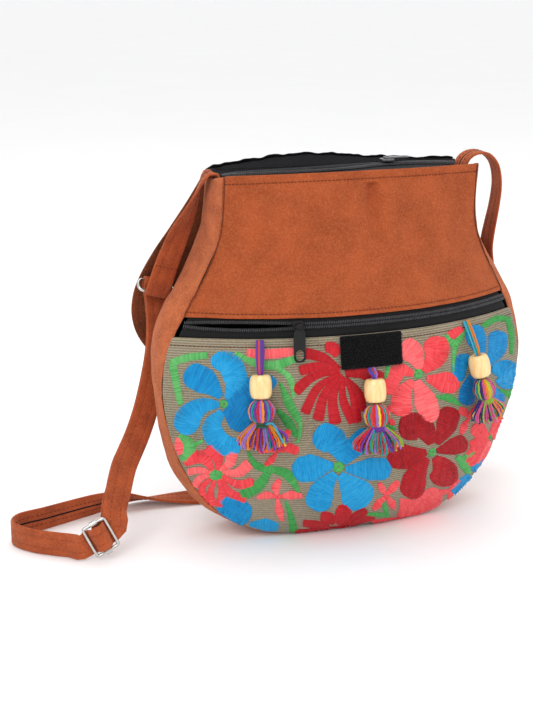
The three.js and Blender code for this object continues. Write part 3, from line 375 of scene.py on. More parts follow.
def level_line(piece, surface, z, inset=0.0015, step=0.003):
    """Line across a panel at one height, from edge to edge."""
    near = points_of(piece)
    near = near[abs(near[:, 2] - z) < 0.002, 0]
    stations = np.arange(near.min() + inset, near.max() - inset, step)
    return [lie_on(surface, x, z, STITCH_PROUD)[0] for x in stations]


def guide(name, runs, **carried):
    """Loose lines for a node tree, with values carried at their points."""
    points, edges = [], []
    for run in runs:
        first = len(points)
        points.extend(run)
        edges.extend((first + i, first + i + 1) for i in range(len(run) - 1))
    mesh = bpy.data.meshes.new(name)
    mesh.from_pydata(points, edges, [])
    for key, values in carried.items():
        flat = np.array([value for run in values for value in run], float)
        kind, field = ("FLOAT", "value") if flat.ndim == 1 else ("FLOAT_VECTOR", "vector")
        mesh.attributes.new(key, kind, "POINT").data.foreach_set(field, flat.ravel())
    return add_object(name, mesh)


def grown(piece, tree, **settings):
    """Turns a guide into the mesh that a node tree makes of it; underscores stand for spaces."""
    maker = piece.modifiers.new(tree.name, "NODES")
    maker.node_group = tree
    for item in tree.interface.items_tree:
        if item.in_out == "INPUT" and item.name.replace(" ", "_") in settings:
            maker[item.identifier] = settings[item.name.replace(" ", "_")]
    lines = piece.data
    piece.data = evaluated(piece)
    piece.modifiers.remove(maker)
    bpy.data.meshes.remove(lines)
    return smooth(piece)


def start_tree(name, **inputs):
    """Empty geometry tree with its named inputs, whose kinds are given as socket names."""
    tree = bpy.data.node_groups.new(name, "GeometryNodeTree")
    tree.interface.new_socket("Geometry", in_out="INPUT", socket_type="NodeSocketGeometry")
    for key, kind in inputs.items():
        tree.interface.new_socket(key.replace("_", " "), in_out="INPUT", socket_type="NodeSocket" + kind)
    tree.interface.new_socket("Geometry", in_out="OUTPUT", socket_type="NodeSocketGeometry")
    return tree, add_node(tree, "NodeGroupInput"), add_node(tree, "NodeGroupOutput")


def end_tree(tree, given, out, made, output):
    """Real meshes in the chosen material as the tree's result."""
    whole = add_node(tree, "GeometryNodeRealizeInstances")
    dressed = add_node(tree, "GeometryNodeSetMaterial")
    link(tree, (made, output, whole, "Geometry"), (whole, "Geometry", dressed, "Geometry"),
         (given, "Material", dressed, "Material"), (dressed, "Geometry", out, "Geometry"))
    return tree


def scaled(tree, source, output, factor):
    """Node that gives an output times a fixed number."""
    times = add_node(tree, "ShaderNodeMath", operation="MULTIPLY")
    times.inputs[1].default_value = factor
    link(tree, (source, output, times, 0))
    return times


def sewn_line_tree():
    """Even stitches along every line, each a small lozenge of thread."""
    tree, given, out = start_tree(
        "sewn_line", Stitch_Length="Float", Space="Float", Thread_Width="Float", Seed="Int",
        Material="Material")
    run = add_node(tree, "GeometryNodeMeshToCurve")
    pitch = add_node(tree, "ShaderNodeMath", operation="ADD")
    even = add_node(tree, "GeometryNodeResampleCurve", mode="LENGTH")
    spots = add_node(tree, "GeometryNodeCurveToPoints", mode="EVALUATED")
    turn = add_node(tree, "FunctionNodeAlignRotationToVector", axis="X")
    lozenge = add_node(tree, "GeometryNodeMeshUVSphere", Segments=6, Rings=4)
    size = add_node(tree, "ShaderNodeCombineXYZ")
    vary = add_node(
        tree, "FunctionNodeRandomValue", data_type="FLOAT_VECTOR",
        Min=(0.86, 0.9, 0.9), Max=(1.08, 1.15, 1.1))
    uneven = add_node(tree, "ShaderNodeVectorMath", operation="MULTIPLY")
    sewn = add_node(tree, "GeometryNodeInstanceOnPoints")
    link(tree, (given, "Geometry", run, "Mesh"), (given, "Stitch Length", pitch, 0),
         (given, "Space", pitch, 1), (run, "Curve", even, "Curve"), (pitch, "Value", even, "Length"),
         (even, "Curve", spots, "Curve"), (spots, "Tangent", turn, "Vector"),
         (scaled(tree, given, "Stitch Length", 0.5), "Value", size, "X"),
         (scaled(tree, given, "Thread Width", 0.5), "Value", size, "Y"),
         (scaled(tree, given, "Thread Width", 0.5), "Value", size, "Z"), (given, "Seed", vary, "Seed"),
         (size, "Vector", uneven, 0), (vary, "Value", uneven, 1), (spots, "Points", sewn, "Points"),
         (lozenge, "Mesh", sewn, "Instance"), (turn, "Rotation", sewn, "Rotation"),
         (uneven, "Vector", sewn, "Scale"))
    return end_tree(tree, given, out, sewn, "Instances")


SEWN_LINE = sewn_line_tree()
seam_thread_look = mottled_look(
    "seam_thread", SEAM_THREAD, 300.0, 5000.0, 0.5, 0.0001, Roughness=0.8, Specular_IOR_Level=0.25)


def sew(name, lines, look, stitch=0.0026, space=0.0004, thread=0.0006, seed=1):
    """Row of machine stitches along lines that lie on the bag."""
    seam = grown(guide(name, lines), SEWN_LINE, Stitch_Length=stitch, Space=space, Thread_Width=thread,
                 Seed=seed, Material=look)
    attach(seam, "bag")
    return seam


def dress(piece, node, body="bag"):
    """Fixes a finished piece to its body in place of the modelled solid."""
    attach(piece, body)
    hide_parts(node)


yoke = smooth_copy("front_yoke", "suede_yoke", 3)
places = points_of(yoke)
yoke_low, yoke_high = places[:, 2].min(), places[:, 2].max()
push = waves(places, *YOKE_WAVES)
push += groove(places[:, 2] - (yoke_high - HEM_BELOW)) + groove(places[:, 2] - (yoke_low + HEM_ABOVE))
fold = ramp(places[:, 2], FOLD_LOW, FOLD_HIGH - FOLD_LOW) * (places[:, 2] < FOLD_HIGH + FOLD_END)
beside = places[:, 0] - FOLD_X
push -= FOLD_DEEP * fold * np.exp(-(beside / FOLD_WIDE) ** 2)
push += FOLD_ROLL * FOLD_DEEP * fold * np.exp(-((beside - 2.5 * FOLD_WIDE) / (2 * FOLD_WIDE)) ** 2)
set_points(yoke, places + push[:, None] * FRONT)
two_sided(yoke, suede_look, lining_look, lambda at: FRONT)
yoke_face = surface_of(yoke, *YOKE_WINDOW, 0.003)
sew("yoke_stitches", [
    level_line(yoke, yoke_face, yoke_high - HEM_BELOW), level_line(yoke, yoke_face, yoke_low + HEM_ABOVE)],
    seam_thread_look)

places = points_of(yoke)
levels = np.arange(yoke_low + 0.002, yoke_high - 0.001, 0.003)
side_seams = []
for side in (-1, 1):
    edge = [side * (side * places[abs(places[:, 2] - z) < 0.0025, 0]).max() for z in levels]
    side_seams.append([
        lie_on(yoke_face, x - side * SEAM_INSET, z, SEAM_PROUD)[0] for x, z in zip(edge, levels)])
sew("yoke_side_seams", side_seams, seam_thread_look, stitch=0.0034, space=-0.0010, thread=0.0010, seed=3)

back = smooth_copy("back_panel", "suede_back", 2)
places = points_of(back)
push = waves(places, *BACK_WAVES)
set_points(back, places + push[:, None] * BACK)
two_sided(back, suede_look, lining_look, lambda at: BACK)

gusset = smooth_copy("gusset", "suede_gusset", 2)
places = points_of(gusset)
push = ramp(places[:, 2], BASE_TOP, BASE_FADE) * waves(places, *GUSSET_WAVES)
set_points(gusset, places + push[:, None] * away_from_axis(places))
two_sided(gusset, lit_gusset_look, lining_look, away_from_axis)

for piece, node in ((yoke, "front_yoke"), (back, "back_panel"), (gusset, "gusset")):
    dress(piece, node)


# Pocket front: one panel of taupe cloth with fine level ribs, joined to the gusset all round.
# A row of brown stitches holds its upper edge; it is the ground of the embroidery.
RIB_PITCH = 0.0019
HEM_POCKET = 0.0062
RIB_DEEP = 0.0005
BAND_AT_SCALE_ONE = 0.314
POCKET_WAVE = (0.0007, 0.05, 31)
POCKET_WINDOW = ((-0.158, 0.0), (0.158, 0.170))
cloth_look, tree, shader = start_look(
    "ribbed_cloth", Roughness=0.9, Sheen_Weight=0.2, Specular_IOR_Level=0.2)
mottle = add_mottle(tree, ((152, 141, 119), (130, 119, 98), (186, 176, 154)), 35.0, 950.0, 0.8)
place = add_node(tree, "ShaderNodeTexCoord")
rib = add_node(
    tree, "ShaderNodeTexWave", bands_direction="Z", Scale=BAND_AT_SCALE_ONE / RIB_PITCH, Distortion=0.1)
# The valleys between the ribs are darkened in colour: painted shade between the ribs.
rib_valley_shade = add_node(tree, "ShaderNodeMix", data_type="RGBA", blend_type="MULTIPLY", B=dye(200, 194, 183))
depth = add_node(tree, "ShaderNodeMath", operation="SUBTRACT")
depth.inputs[0].default_value = 1.0
link(tree, (place, "Object", rib, "Vector"), (rib, "Fac", depth, 1), (depth, "Value", rib_valley_shade, "Factor"),
     (mottle, "Colour", rib_valley_shade, "A"), (rib_valley_shade, "Result", shader, "Base Color"))
add_relief(tree, shader, rib, "Fac", RIB_DEEP)

pocket = smooth_copy("front_pocket", "cloth_pocket", 3)
places = points_of(pocket)
pocket_high = places[:, 2].max()
push = waves(places, POCKET_WAVE) + groove(places[:, 2] - (pocket_high - HEM_POCKET))
set_points(pocket, places + push[:, None] * FRONT)
two_sided(pocket, cloth_look, lining_look, lambda at: FRONT)
dress(pocket, "front_pocket")
pocket_face = surface_of(pocket, *POCKET_WINDOW, 0.002)
hem_line = level_line(pocket, pocket_face, pocket_high - HEM_POCKET)
sew("pocket_stitches", [hem_line], seam_thread_look, seed=2)


# Embroidery: flowers, pinwheels, buds and leaves in glossy coloured floss on the pocket cloth.
# Each motif is laid by hand in satin stitch, padded enough to stand up from the ground.
STITCH_PITCH = 0.00052
FLOSS_WIDE = 0.00074
FLOSS_RISE = 0.00075
PATCH_HALF = 0.0244
PATCH_LOW = 0.1434
EDGE_INSET = 0.0006
STITCH_REACH = 0.0085
PICTURE_SIZE = (533, 711)
PICTURE_CORNER = (160.0, 310.0)
PICTURE_STEP = 0.1467
PICTURE_WIDE = 0.000117
PETAL_BROAD = 88
PETAL_FULL = 1.14
BLADE_FULL = 1.1
ROUND_TIP, POINTED_TIP = 0.42, 0.16
LEAN_SPREAD = 2.0
JOIN_SPREAD = 0.07
TONE_SPREAD = 0.16
LAY_STEPS = 8
EYE_START, EYE_RISE = 0.0008, 0.0009
EYE_TONE = 0.55
EYE_FILL = 0.8
# Each floss: its colour, its darker and its lighter tone; a stitch's shade picks between them, partly as
# painted sheen.
FLOSS = {
    "blue": ((8, 145, 202), (4, 102, 170), (50, 176, 226)),
    "crimson": ((178, 12, 26), (130, 6, 18), (210, 38, 50)),
    "coral": ((232, 66, 74), (198, 38, 48), (246, 126, 126)),
    "green": ((66, 160, 78), (36, 118, 52), (128, 198, 124)),
}
chance = random.Random(7)
stitches = {name: [] for name in FLOSS}
places = points_of(pocket)
edge_levels = np.arange(0.0, 0.169, 0.002)
edge_left = np.array([places[abs(places[:, 2] - z) < 0.002, 0].min() for z in edge_levels])
edge_right = np.array([places[abs(places[:, 2] - z) < 0.002, 0].max() for z in edge_levels])


def on_cloth(x, z):
    """Whether a point lies on the open cloth, clear of the border and of the loop patch."""
    if not EDGE_INSET < z < pocket_high - 0.002:
        return False
    if abs(x) < PATCH_HALF and z > PATCH_LOW:
        return False
    left = np.interp(z, edge_levels, edge_left) + EDGE_INSET
    return left < x < np.interp(z, edge_levels, edge_right) - EDGE_INSET


def lay(floss, start, end, rise, tone):
    """One stitch between two points of the cloth, cut where it would leave the cloth."""
    way = [(start[0] + (end[0] - start[0]) * i / LAY_STEPS, start[1] + (end[1] - start[1]) * i / LAY_STEPS)
           for i in range(LAY_STEPS + 1)]
    inside = [spot for spot in way if on_cloth(*spot)]
    if len(inside) > 2:
        shade = tone + chance.uniform(-TONE_SPREAD, TONE_SPREAD)
        stitches[floss].append((inside[0], inside[-1], rise, shade))


def flowing(rows, count, across=3):
    """Smooth run through rows of values, even in length over the first columns."""
    rows = np.asarray(rows, float)
    gaps = np.linalg.norm(np.diff(rows[:, :across], axis=0), axis=1)
    at = np.r_[0, np.cumsum(gaps)]
    slope = np.diff(rows, axis=0) / gaps[:, None]
    lean = np.vstack((slope[:1], slope[:1].repeat(len(rows) - 2, axis=0), slope[-1:]))
    share = (gaps[:-1] / (gaps[:-1] + gaps[1:]))[:, None]
    lean[1:-1] = slope[:-1] * (1 - share) + slope[1:] * share
    where = np.linspace(0, at[-1], count)
    k = np.clip(np.searchsorted(at, where, side="right") - 1, 0, len(gaps) - 1)
    h = gaps[k][:, None]
    t = ((where - at[k]) / gaps[k])[:, None]
    ends = (2 * t ** 3 - 3 * t ** 2 + 1) * rows[k] + (3 * t ** 2 - 2 * t ** 3) * rows[k + 1]
    return ends + (t ** 3 - 2 * t ** 2 + t) * h * lean[k] + (t ** 3 - t ** 2) * h * lean[k + 1]


def even_run(points, pitch):
    """A flat run with its points a pitch apart, and the share of its length at each."""
    steps = np.r_[0, np.cumsum(np.linalg.norm(np.diff(points[:, :2], axis=0), axis=1))]
    at = np.arange(pitch / 2, steps[-1], pitch)
    columns = [np.interp(at, steps, points[:, i]) for i in range(points.shape[1])]
    return np.column_stack(columns), at / steps[-1]


def seen(across, down):
    """Place on the cloth, as across and up, that the camera sees at a spot of the picture."""
    pixel = np.array(PICTURE_CORNER) + PICTURE_STEP * np.array((across, down)) - np.array(PICTURE_SIZE) / 2
    aim = pixel * (1, -1) * CAMERA_SENSOR / CAMERA_LENS / max(PICTURE_SIZE)
    ray = stand.rotation_euler.to_matrix() @ Vector((*aim, -1.0))
    y = -0.06
    for _ in range(7):
        spot = Vector(CAMERA_PLACE) + ray * ((y - CAMERA_PLACE[1]) / ray.y)
        y = depth_at(pocket_face, spot.x, spot.z)
    return spot.x, spot.z


def petal(floss, route, widths, tone=0.5):
    """Petal or blade filled with satin stitch across its route; a broad one is round at the tip."""
    rows = [(*seen(*spot), *spot) for spot in route]
    run, share = even_run(flowing(rows, 40, 2), STITCH_PITCH)
    heading = unit_rows(np.gradient(run[:, 2:], axis=0))
    broad = max(widths) > PETAL_BROAD
    wide = (PETAL_FULL if broad else BLADE_FULL) * np.interp(share, np.linspace(0, 1, len(widths)), widths)
    reach = np.linalg.norm(run[:, 2:] - run[-1, 2:], axis=1)
    tip = np.clip(reach / ((ROUND_TIP if broad else POINTED_TIP) * max(widths)), 0.0, 1.0)
    wide *= np.sqrt(1 - (1 - tip) ** 2)
    for spot, ahead, width in zip(run[:, 2:], heading, wide):
        across = np.array((-ahead[1], ahead[0])) * width / 2
        across = across + ahead * chance.uniform(-LEAN_SPREAD, LEAN_SPREAD)
        start, end = np.array(seen(*(spot - across))), np.array(seen(*(spot + across)))
        parts = max(1, round(np.linalg.norm(end - start) / STITCH_REACH))
        joins = [k / parts + chance.uniform(-JOIN_SPREAD, JOIN_SPREAD) for k in range(1, parts)]
        ends = [0.0] + joins + [1.0]
        for near, far in zip(ends, ends[1:]):
            lay(floss, start + (end - start) * near, start + (end - start) * far, FLOSS_RISE, tone)


def knot(floss, x, z, reach):
    """Round eye of short stitches set like spokes."""
    count = int(2 * math.pi * reach / STITCH_PITCH * EYE_FILL)
    for i in range(count):
        turn = 2 * math.pi * i / count
        ray = np.array((math.cos(turn), math.sin(turn)))
        start = np.array((x, z)) + ray * EYE_START
        lay(floss, start, np.array((x, z)) + ray * reach * chance.uniform(0.9, 1.1), EYE_RISE, EYE_TONE)


# Each petal: its route from the flower's middle to the tip, its widths in steps along it, its tone.
# Routes and widths are read off the photograph in steps of PICTURE_STEP pixels from PICTURE_CORNER.
# A tone is partly the floss's own shade and partly painted sheen: petals whose satin catches the light get
# a lighter tone.
BLUE = (
    (((455, 605), (515, 490), (465, 365), (345, 340)), (30, 140, 150, 90), 0.66),
    (((415, 592), (325, 500), (168, 418)), (36, 160, 150), 0.42),
    (((402, 645), (300, 650), (200, 725), (170, 850)), (40, 105, 160, 130), 0.56),
    (((425, 690), (355, 800), (410, 905), (555, 945)), (40, 120, 135, 95), 0.62),
    (((450, 665), (525, 725), (620, 780)), (60, 165, 150), 0.30),
    (((460, 645), (560, 585), (680, 515), (795, 480)), (50, 150, 150, 70), 0.28),
    (((1240, 1025), (1190, 905), (1050, 835)), (40, 172, 165), 0.52),
    (((1180, 1060), (1060, 1072), (898, 1100)), (36, 166, 140), 0.56),
    (((1195, 1112), (1115, 1215), (1060, 1370)), (40, 150, 165), 0.60),
    (((1227, 1120), (1310, 1215), (1400, 1340)), (40, 190, 230), 0.66),
    (((1262, 1085), (1400, 1085), (1575, 1080)), (30, 135, 130), 0.52),
    (((1252, 1045), (1335, 930), (1435, 830)), (36, 125, 120), 0.46),
    (((2195, 300), (2160, 205), (2125, 105)), (50, 120, 110), 0.36),
    (((2235, 370), (2295, 270), (2305, 140)), (36, 110, 120), 0.40),
    (((2260, 400), (2345, 415), (2400, 530)), (40, 165, 150), 0.50),
    (((2110, 330), (2055, 345), (2035, 490)), (50, 95, 70), 0.34),
    (((2130, 450), (2100, 550), (2085, 650)), (50, 100, 100), 0.16),
    (((2270, 540), (2310, 600), (2290, 680)), (36, 75, 70), 0.34),
    (((400, 1330), (500, 1360), (600, 1440)), (110, 165, 150), 0.44),
    (((612, 1462), (700, 1462), (808, 1482)), (26, 80, 50), 0.64),
    (((2112, 1125), (2062, 1190), (2010, 1260)), (36, 85, 70), 0.50),
    (((2200, 1025), (2130, 1100)), (30, 50), 0.40),
    (((2030, 1270), (1935, 1350)), (30, 50), 0.40),
)
CRIMSON = (
    (((1225, 400), (1110, 325), (985, 292)), (24, 60, 70), 0.50),
    (((1225, 408), (1090, 382), (948, 415)), (22, 52, 66), 0.60),
    (((1225, 418), (1050, 450), (915, 560)), (20, 56, 70), 0.56),
    (((1230, 430), (1080, 525), (985, 705)), (20, 52, 62), 0.56),
    (((1238, 440), (1125, 570), (1075, 755)), (20, 56, 72), 0.60),
    (((1245, 450), (1180, 590), (1195, 780)), (20, 56, 80), 0.62),
    (((1250, 458), (1245, 600), (1320, 770)), (20, 52, 66), 0.60),
    (((1220, 300), (1180, 262), (1120, 248)), (70, 80, 60), 0.80),
    (((1262, 470), (1320, 590), (1340, 770)), (20, 56, 64), 0.58),
    (((1268, 462), (1350, 560), (1385, 690)), (20, 50, 54), 0.34),
    (((1265, 440), (1380, 430), (1525, 470)), (30, 80, 80), 0.36),
    (((1260, 420), (1340, 410), (1430, 420)), (24, 60, 40), 0.44),
    (((1852, 910), (1790, 805), (1625, 800)), (50, 165, 160), 0.26),
    (((1887, 912), (1945, 805), (1985, 660)), (34, 125, 130), 0.30),
    (((1885, 962), (1985, 935), (2095, 895)), (26, 100, 110), 0.28),
    (((1872, 1002), (1930, 1090), (1935, 1205)), (36, 165, 185), 0.42),
    (((1822, 1010), (1750, 1120), (1705, 1285)), (34, 145, 150), 0.46),
    (((1815, 968), (1680, 1000), (1548, 1000)), (34, 150, 130), 0.34),
    (((1150, 1472), (1060, 1462), (972, 1452)), (44, 52, 44), 0.56),
    (((1190, 1450), (1150, 1415), (1095, 1400)), (40, 66, 60), 0.66),
    (((1200, 1452), (1245, 1390), (1270, 1330)), (50, 90, 90), 0.68),
    (((920, 1508), (1100, 1500), (1300, 1484)), (20, 34, 34), 0.52),
    (((1222, 1462), (1246, 1400), (1262, 1330)), (50, 80, 80), 0.52),
    (((1262, 1462), (1335, 1410), (1412, 1365)), (30, 60, 60), 0.50),
    (((1285, 1466), (1375, 1432), (1465, 1408)), (26, 46, 40), 0.56),
)
CORAL = (
    (((395, 1090), (395, 1010), (325, 928)), (26, 70, 86), 0.42),
    (((410, 1090), (470, 1050), (495, 960)), (22, 66, 72), 0.78),
    (((425, 1105), (525, 1110), (615, 1040)), (22, 62, 72), 0.80),
    (((425, 1130), (540, 1190), (640, 1172)), (20, 52, 60), 0.50),
    (((420, 1145), (480, 1250), (588, 1300)), (20, 56, 60), 0.42),
    (((400, 1152), (425, 1240), (398, 1340)), (20, 50, 56), 0.44),
    (((380, 1152), (345, 1240), (362, 1338)), (18, 44, 44), 0.48),
    (((366, 1140), (290, 1205), (318, 1318)), (18, 44, 40), 0.46),
    (((355, 1126), (280, 1142), (232, 1205)), (18, 44, 44), 0.76),
    (((355, 1112), (280, 1092), (185, 1106)), (18, 42, 44), 0.80),
    (((362, 1092), (285, 1000), (160, 1036)), (24, 86, 60), 0.48),
    (((1772, 402), (1735, 310), (1640, 225)), (40, 135, 130), 0.78),
    (((1797, 420), (1880, 310), (1880, 175)), (34, 140, 160), 0.50),
    (((1817, 465), (1925, 490), (2040, 505)), (34, 125, 120), 0.50),
    (((1747, 480), (1797, 590), (1855, 765)), (40, 140, 110), 0.80),
    (((1722, 480), (1655, 570), (1645, 725)), (34, 120, 140), 0.60),
    (((1727, 436), (1635, 410), (1545, 575)), (34, 100, 70), 0.50),
    (((1625, 1345), (1710, 1362), (1800, 1372)), (110, 130, 100), 0.66),
    (((1775, 1358), (1845, 1292), (1905, 1222)), (120, 130, 90), 0.66),
    (((2235, 860), (2180, 825), (2130, 785)), (30, 95, 90), 0.56),
    (((2232, 872), (2180, 898), (2112, 930)), (24, 66, 56), 0.42),
    (((2235, 882), (2160, 960), (2095, 1055)), (26, 90, 80), 0.46),
    (((2245, 892), (2215, 980), (2185, 1060)), (24, 66, 60), 0.74),
    (((2255, 850), (2305, 790), (2340, 735)), (26, 80, 70), 0.52),
    (((2265, 870), (2310, 850), (2340, 830)), (26, 60, 50), 0.66),
    (((800, 1265), (790, 1215), (815, 1150)), (14, 56, 24), 0.70),
    (((805, 1275), (890, 1262), (975, 1268)), (14, 56, 24), 0.70),
    (((800, 1280), (810, 1360), (835, 1435)), (14, 52, 24), 0.70),
    (((795, 1275), (730, 1262), (660, 1280)), (14, 50, 22), 0.70),
    (((800, 960), (835, 890), (885, 815)), (14, 52, 30), 0.36),
    (((805, 966), (870, 940), (945, 965)), (14, 62, 50), 0.36),
    (((795, 970), (760, 1020), (715, 1062)), (14, 44, 20), 0.44),
    (((790, 965), (735, 950), (670, 965)), (14, 40, 30), 0.60),
    (((1542, 1262), (1515, 1220), (1495, 1175)), (14, 44, 24), 0.60),
    (((1546, 1260), (1585, 1215), (1630, 1165)), (14, 52, 30), 0.60),
    (((1544, 1268), (1575, 1310), (1598, 1355)), (14, 46, 26), 0.60),
    (((1540, 1268), (1500, 1310), (1450, 1362)), (14, 50, 26), 0.60),
    (((2105, 735), (2080, 700), (2035, 680)), (14, 50, 40), 0.44),
    (((2108, 735), (2140, 690), (2165, 650)), (14, 44, 30), 0.44),
    (((2102, 742), (2075, 790), (2050, 850)), (14, 48, 24), 0.44),
    (((1968, 1230), (1935, 1240), (1905, 1235)), (14, 36, 20), 0.62),
    (((1972, 1225), (2005, 1190), (2045, 1158)), (14, 40, 20), 0.62),
    (((1970, 1235), (1980, 1270), (1970, 1305)), (14, 36, 20), 0.62),
    (((1557, 690), (1572, 650)), (24, 30), 0.44),
    (((1560, 765), (1600, 765)), (40, 40), 0.44),
    (((592, 292), (690, 300), (790, 296), (915, 284)), (50, 58, 58, 50), 0.76),
    (((128, 868), (130, 925), (140, 985)), (36, 56, 40), 0.70),
    (((1962, 182), (2015, 155), (2066, 132)), (50, 62, 50), 0.46),
    (((1447, 1442), (1570, 1432), (1690, 1422)), (20, 26, 20), 0.46),
)
GREEN = (
    (((325, 308), (200, 322), (72, 362)), (40, 46, 44), 0.70),
    (((84, 352), (108, 480), (140, 645)), (46, 46, 36), 0.66),
    (((512, 290), (620, 350), (770, 378), (935, 325)), (20, 50, 58, 44), 0.66),
    (((785, 385), (880, 460), (910, 600)), (30, 40, 18), 0.72),
    (((820, 495), (880, 640), (955, 765)), (16, 60, 40), 0.50),
    (((955, 760), (955, 830), (935, 910)), (24, 22, 12), 0.56),
    (((800, 680), (870, 760), (935, 865)), (24, 64, 30), 0.24),
    (((598, 965), (660, 1060), (760, 1090)), (12, 44, 56), 0.46),
    (((740, 1082), (850, 1110), (948, 1240)), (40, 62, 18), 0.44),
    (((745, 1095), (670, 1200), (552, 1268)), (40, 70, 60), 0.44),
    (((858, 1305), (890, 1400), (912, 1512)), (14, 40, 56), 0.42),
    (((128, 858), (195, 905), (165, 1035)), (40, 80, 60), 0.62),
    (((200, 925), (240, 915), (295, 888)), (30, 24, 20), 0.62),
    (((330, 1335), (390, 1385)), (20, 26), 0.60),
    (((2195, 112), (2300, 58), (2372, 62)), (34, 38, 34), 0.36),
    (((2368, 52), (2395, 160), (2395, 300)), (36, 38, 24), 0.36),
    (((1950, 165), (2005, 235), (2078, 135)), (24, 50, 24), 0.60),
    (((2012, 235), (2002, 330), (1998, 425)), (28, 24, 14), 0.60),
    (((1880, 592), (1967, 600), (2048, 650)), (14, 52, 14), 0.42),
    (((2315, 548), (2395, 560), (2445, 470)), (24, 36, 24), 0.40),
    (((2398, 562), (2395, 665)), (40, 44), 0.40),
    (((2022, 998), (2075, 1050), (2108, 1118)), (30, 72, 30), 0.56),
    (((2062, 1020), (2140, 965)), (34, 30), 0.56),
    (((1520, 1312), (1550, 1395)), (28, 24), 0.46),
    (((1560, 1400), (1480, 1395), (1405, 1390)), (26, 30, 16), 0.46),
    (((1557, 385), (1540, 465)), (26, 26), 0.46),
    (((1535, 782), (1605, 812)), (20, 26), 0.46),
)
EYES = (
    ("green", 440, 640, 27), ("green", 1218, 1068, 40), ("green", 1760, 433, 34), ("green", 1855, 970, 30),
    ("green", 382, 1125, 44), ("green", 2248, 862, 20),
)
for name, petals in (("green", GREEN), ("crimson", CRIMSON), ("coral", CORAL), ("blue", BLUE)):
    for route, widths, tone in petals:
        petal(name, route, widths, tone)
for name, across, down, reach in EYES:
    knot(name, *seen(across, down), reach * PICTURE_WIDE)


def laid_thread_tree():
    """Arches every line along its own lift and gives it the body of a thread."""
    tree, given, out = start_tree(
        "laid_thread", Thread_Width="Float", Sides="Int", Steps="Int", Material="Material")
    run = add_node(tree, "GeometryNodeMeshToCurve")
    fine = add_node(tree, "GeometryNodeResampleCurve", mode="COUNT")
    share = add_node(tree, "GeometryNodeSplineParameter")
    arch = add_node(tree, "ShaderNodeMath", operation="SINE")
    lift = add_node(tree, "GeometryNodeInputNamedAttribute", data_type="FLOAT_VECTOR", Name="lift")
    rise = add_node(tree, "ShaderNodeVectorMath", operation="SCALE")
    raised = add_node(tree, "GeometryNodeSetPosition")
    ring = add_node(tree, "GeometryNodeCurvePrimitiveCircle")
    body = add_node(tree, "GeometryNodeCurveToMesh", Fill_Caps=True)
    link(tree, (given, "Geometry", run, "Mesh"), (run, "Curve", fine, "Curve"),
         (given, "Steps", fine, "Count"), (scaled(tree, share, "Factor", math.pi), "Value", arch, 0),
         (lift, "Attribute", rise, "Vector"), (arch, "Value", rise, "Scale"),
         (fine, "Curve", raised, "Geometry"), (rise, "Vector", raised, "Offset"),
         (given, "Sides", ring, "Resolution"),
         (scaled(tree, given, "Thread Width", 0.5), "Value", ring, "Radius"),
         (raised, "Geometry", body, "Curve"), (ring, "Curve", body, "Profile Curve"))
    return end_tree(tree, given, out, body, "Mesh")


def floss_look(name, colours, **constants):
    """Glossy floss whose tone follows the shade carried by each stitch; the shade is partly painted sheen.
    """
    look, tree, shader = start_look(name, **constants)
    shade = add_node(tree, "ShaderNodeAttribute", attribute_name="shade")
    low = add_node(tree, "ShaderNodeMapRange", From_Max=0.5)
    high = add_node(tree, "ShaderNodeMapRange", From_Min=0.5)
    dark = add_node(tree, "ShaderNodeMix", data_type="RGBA", A=dye(*colours[1]), B=dye(*colours[0]))
    light = add_node(tree, "ShaderNodeMix", data_type="RGBA", B=dye(*colours[2]))
    link(tree, (shade, "Fac", low, "Value"), (shade, "Fac", high, "Value"),
         (low, "Result", dark, "Factor"), (dark, "Result", light, "A"), (high, "Result", light, "Factor"),
         (light, "Result", shader, "Base Color"))
    return look


LAID_THREAD = laid_thread_tree()
for name, colours in FLOSS.items():
    runs, lifts, shades = [], [], []
    for start, end, rise, tone in stitches[name]:
        ends = [lie_on(pocket_face, *spot) for spot in (start, end)]
        runs.append([place for place, out in ends])
        lifts.append([out * rise for place, out in ends])
        shades.append([tone, tone])
    floss = guide("embroidery_" + name, runs, lift=lifts, shade=shades)
    look = floss_look("floss_" + name, colours, Roughness=0.5, Specular_IOR_Level=0.28)
    grown(floss, LAID_THREAD, Thread_Width=FLOSS_WIDE, Sides=5, Steps=4, Material=look)
    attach(floss, "bag")


# Pocket zip: two woven tapes sewn under the cloth edges, each with a row of moulded nylon teeth.
# The teeth are parted to the left of the slider.
TOOTH_PITCH = 0.0014
TOOTH_WIDE = 0.0024
TOOTH_GIRTH = 0.0008
TOOTH_RISE = 0.0016
FOOT_SHARE = 0.25
TWILL_DEEP = 0.0002

tape_look, tree, shader = start_look("zip_tape", Roughness=0.9, Sheen_Weight=0.06, Specular_IOR_Level=0.1)
place = add_node(tree, "ShaderNodeTexCoord")
twill = add_node(tree, "ShaderNodeTexWave", bands_direction="DIAGONAL", Scale=420.0, Distortion=0.6)
weave = add_node(tree, "ShaderNodeMix", data_type="RGBA", A=dye(21, 21, 21), B=dye(42, 41, 42))
link(tree, (place, "Object", twill, "Vector"), (twill, "Fac", weave, "Factor"),
     (weave, "Result", shader, "Base Color"))
add_relief(tree, shader, twill, "Fac", TWILL_DEEP)
# The coil is a grey lighter than black nylon, with light flecks: painted glints along the teeth.
coil_glint_look = mottled_look(
    "zip_coil", ((50, 50, 52), (30, 30, 32), (108, 108, 112)), 200.0, 3000.0, 0.45, 0.00005,
    Roughness=0.26, Specular_IOR_Level=0.6)


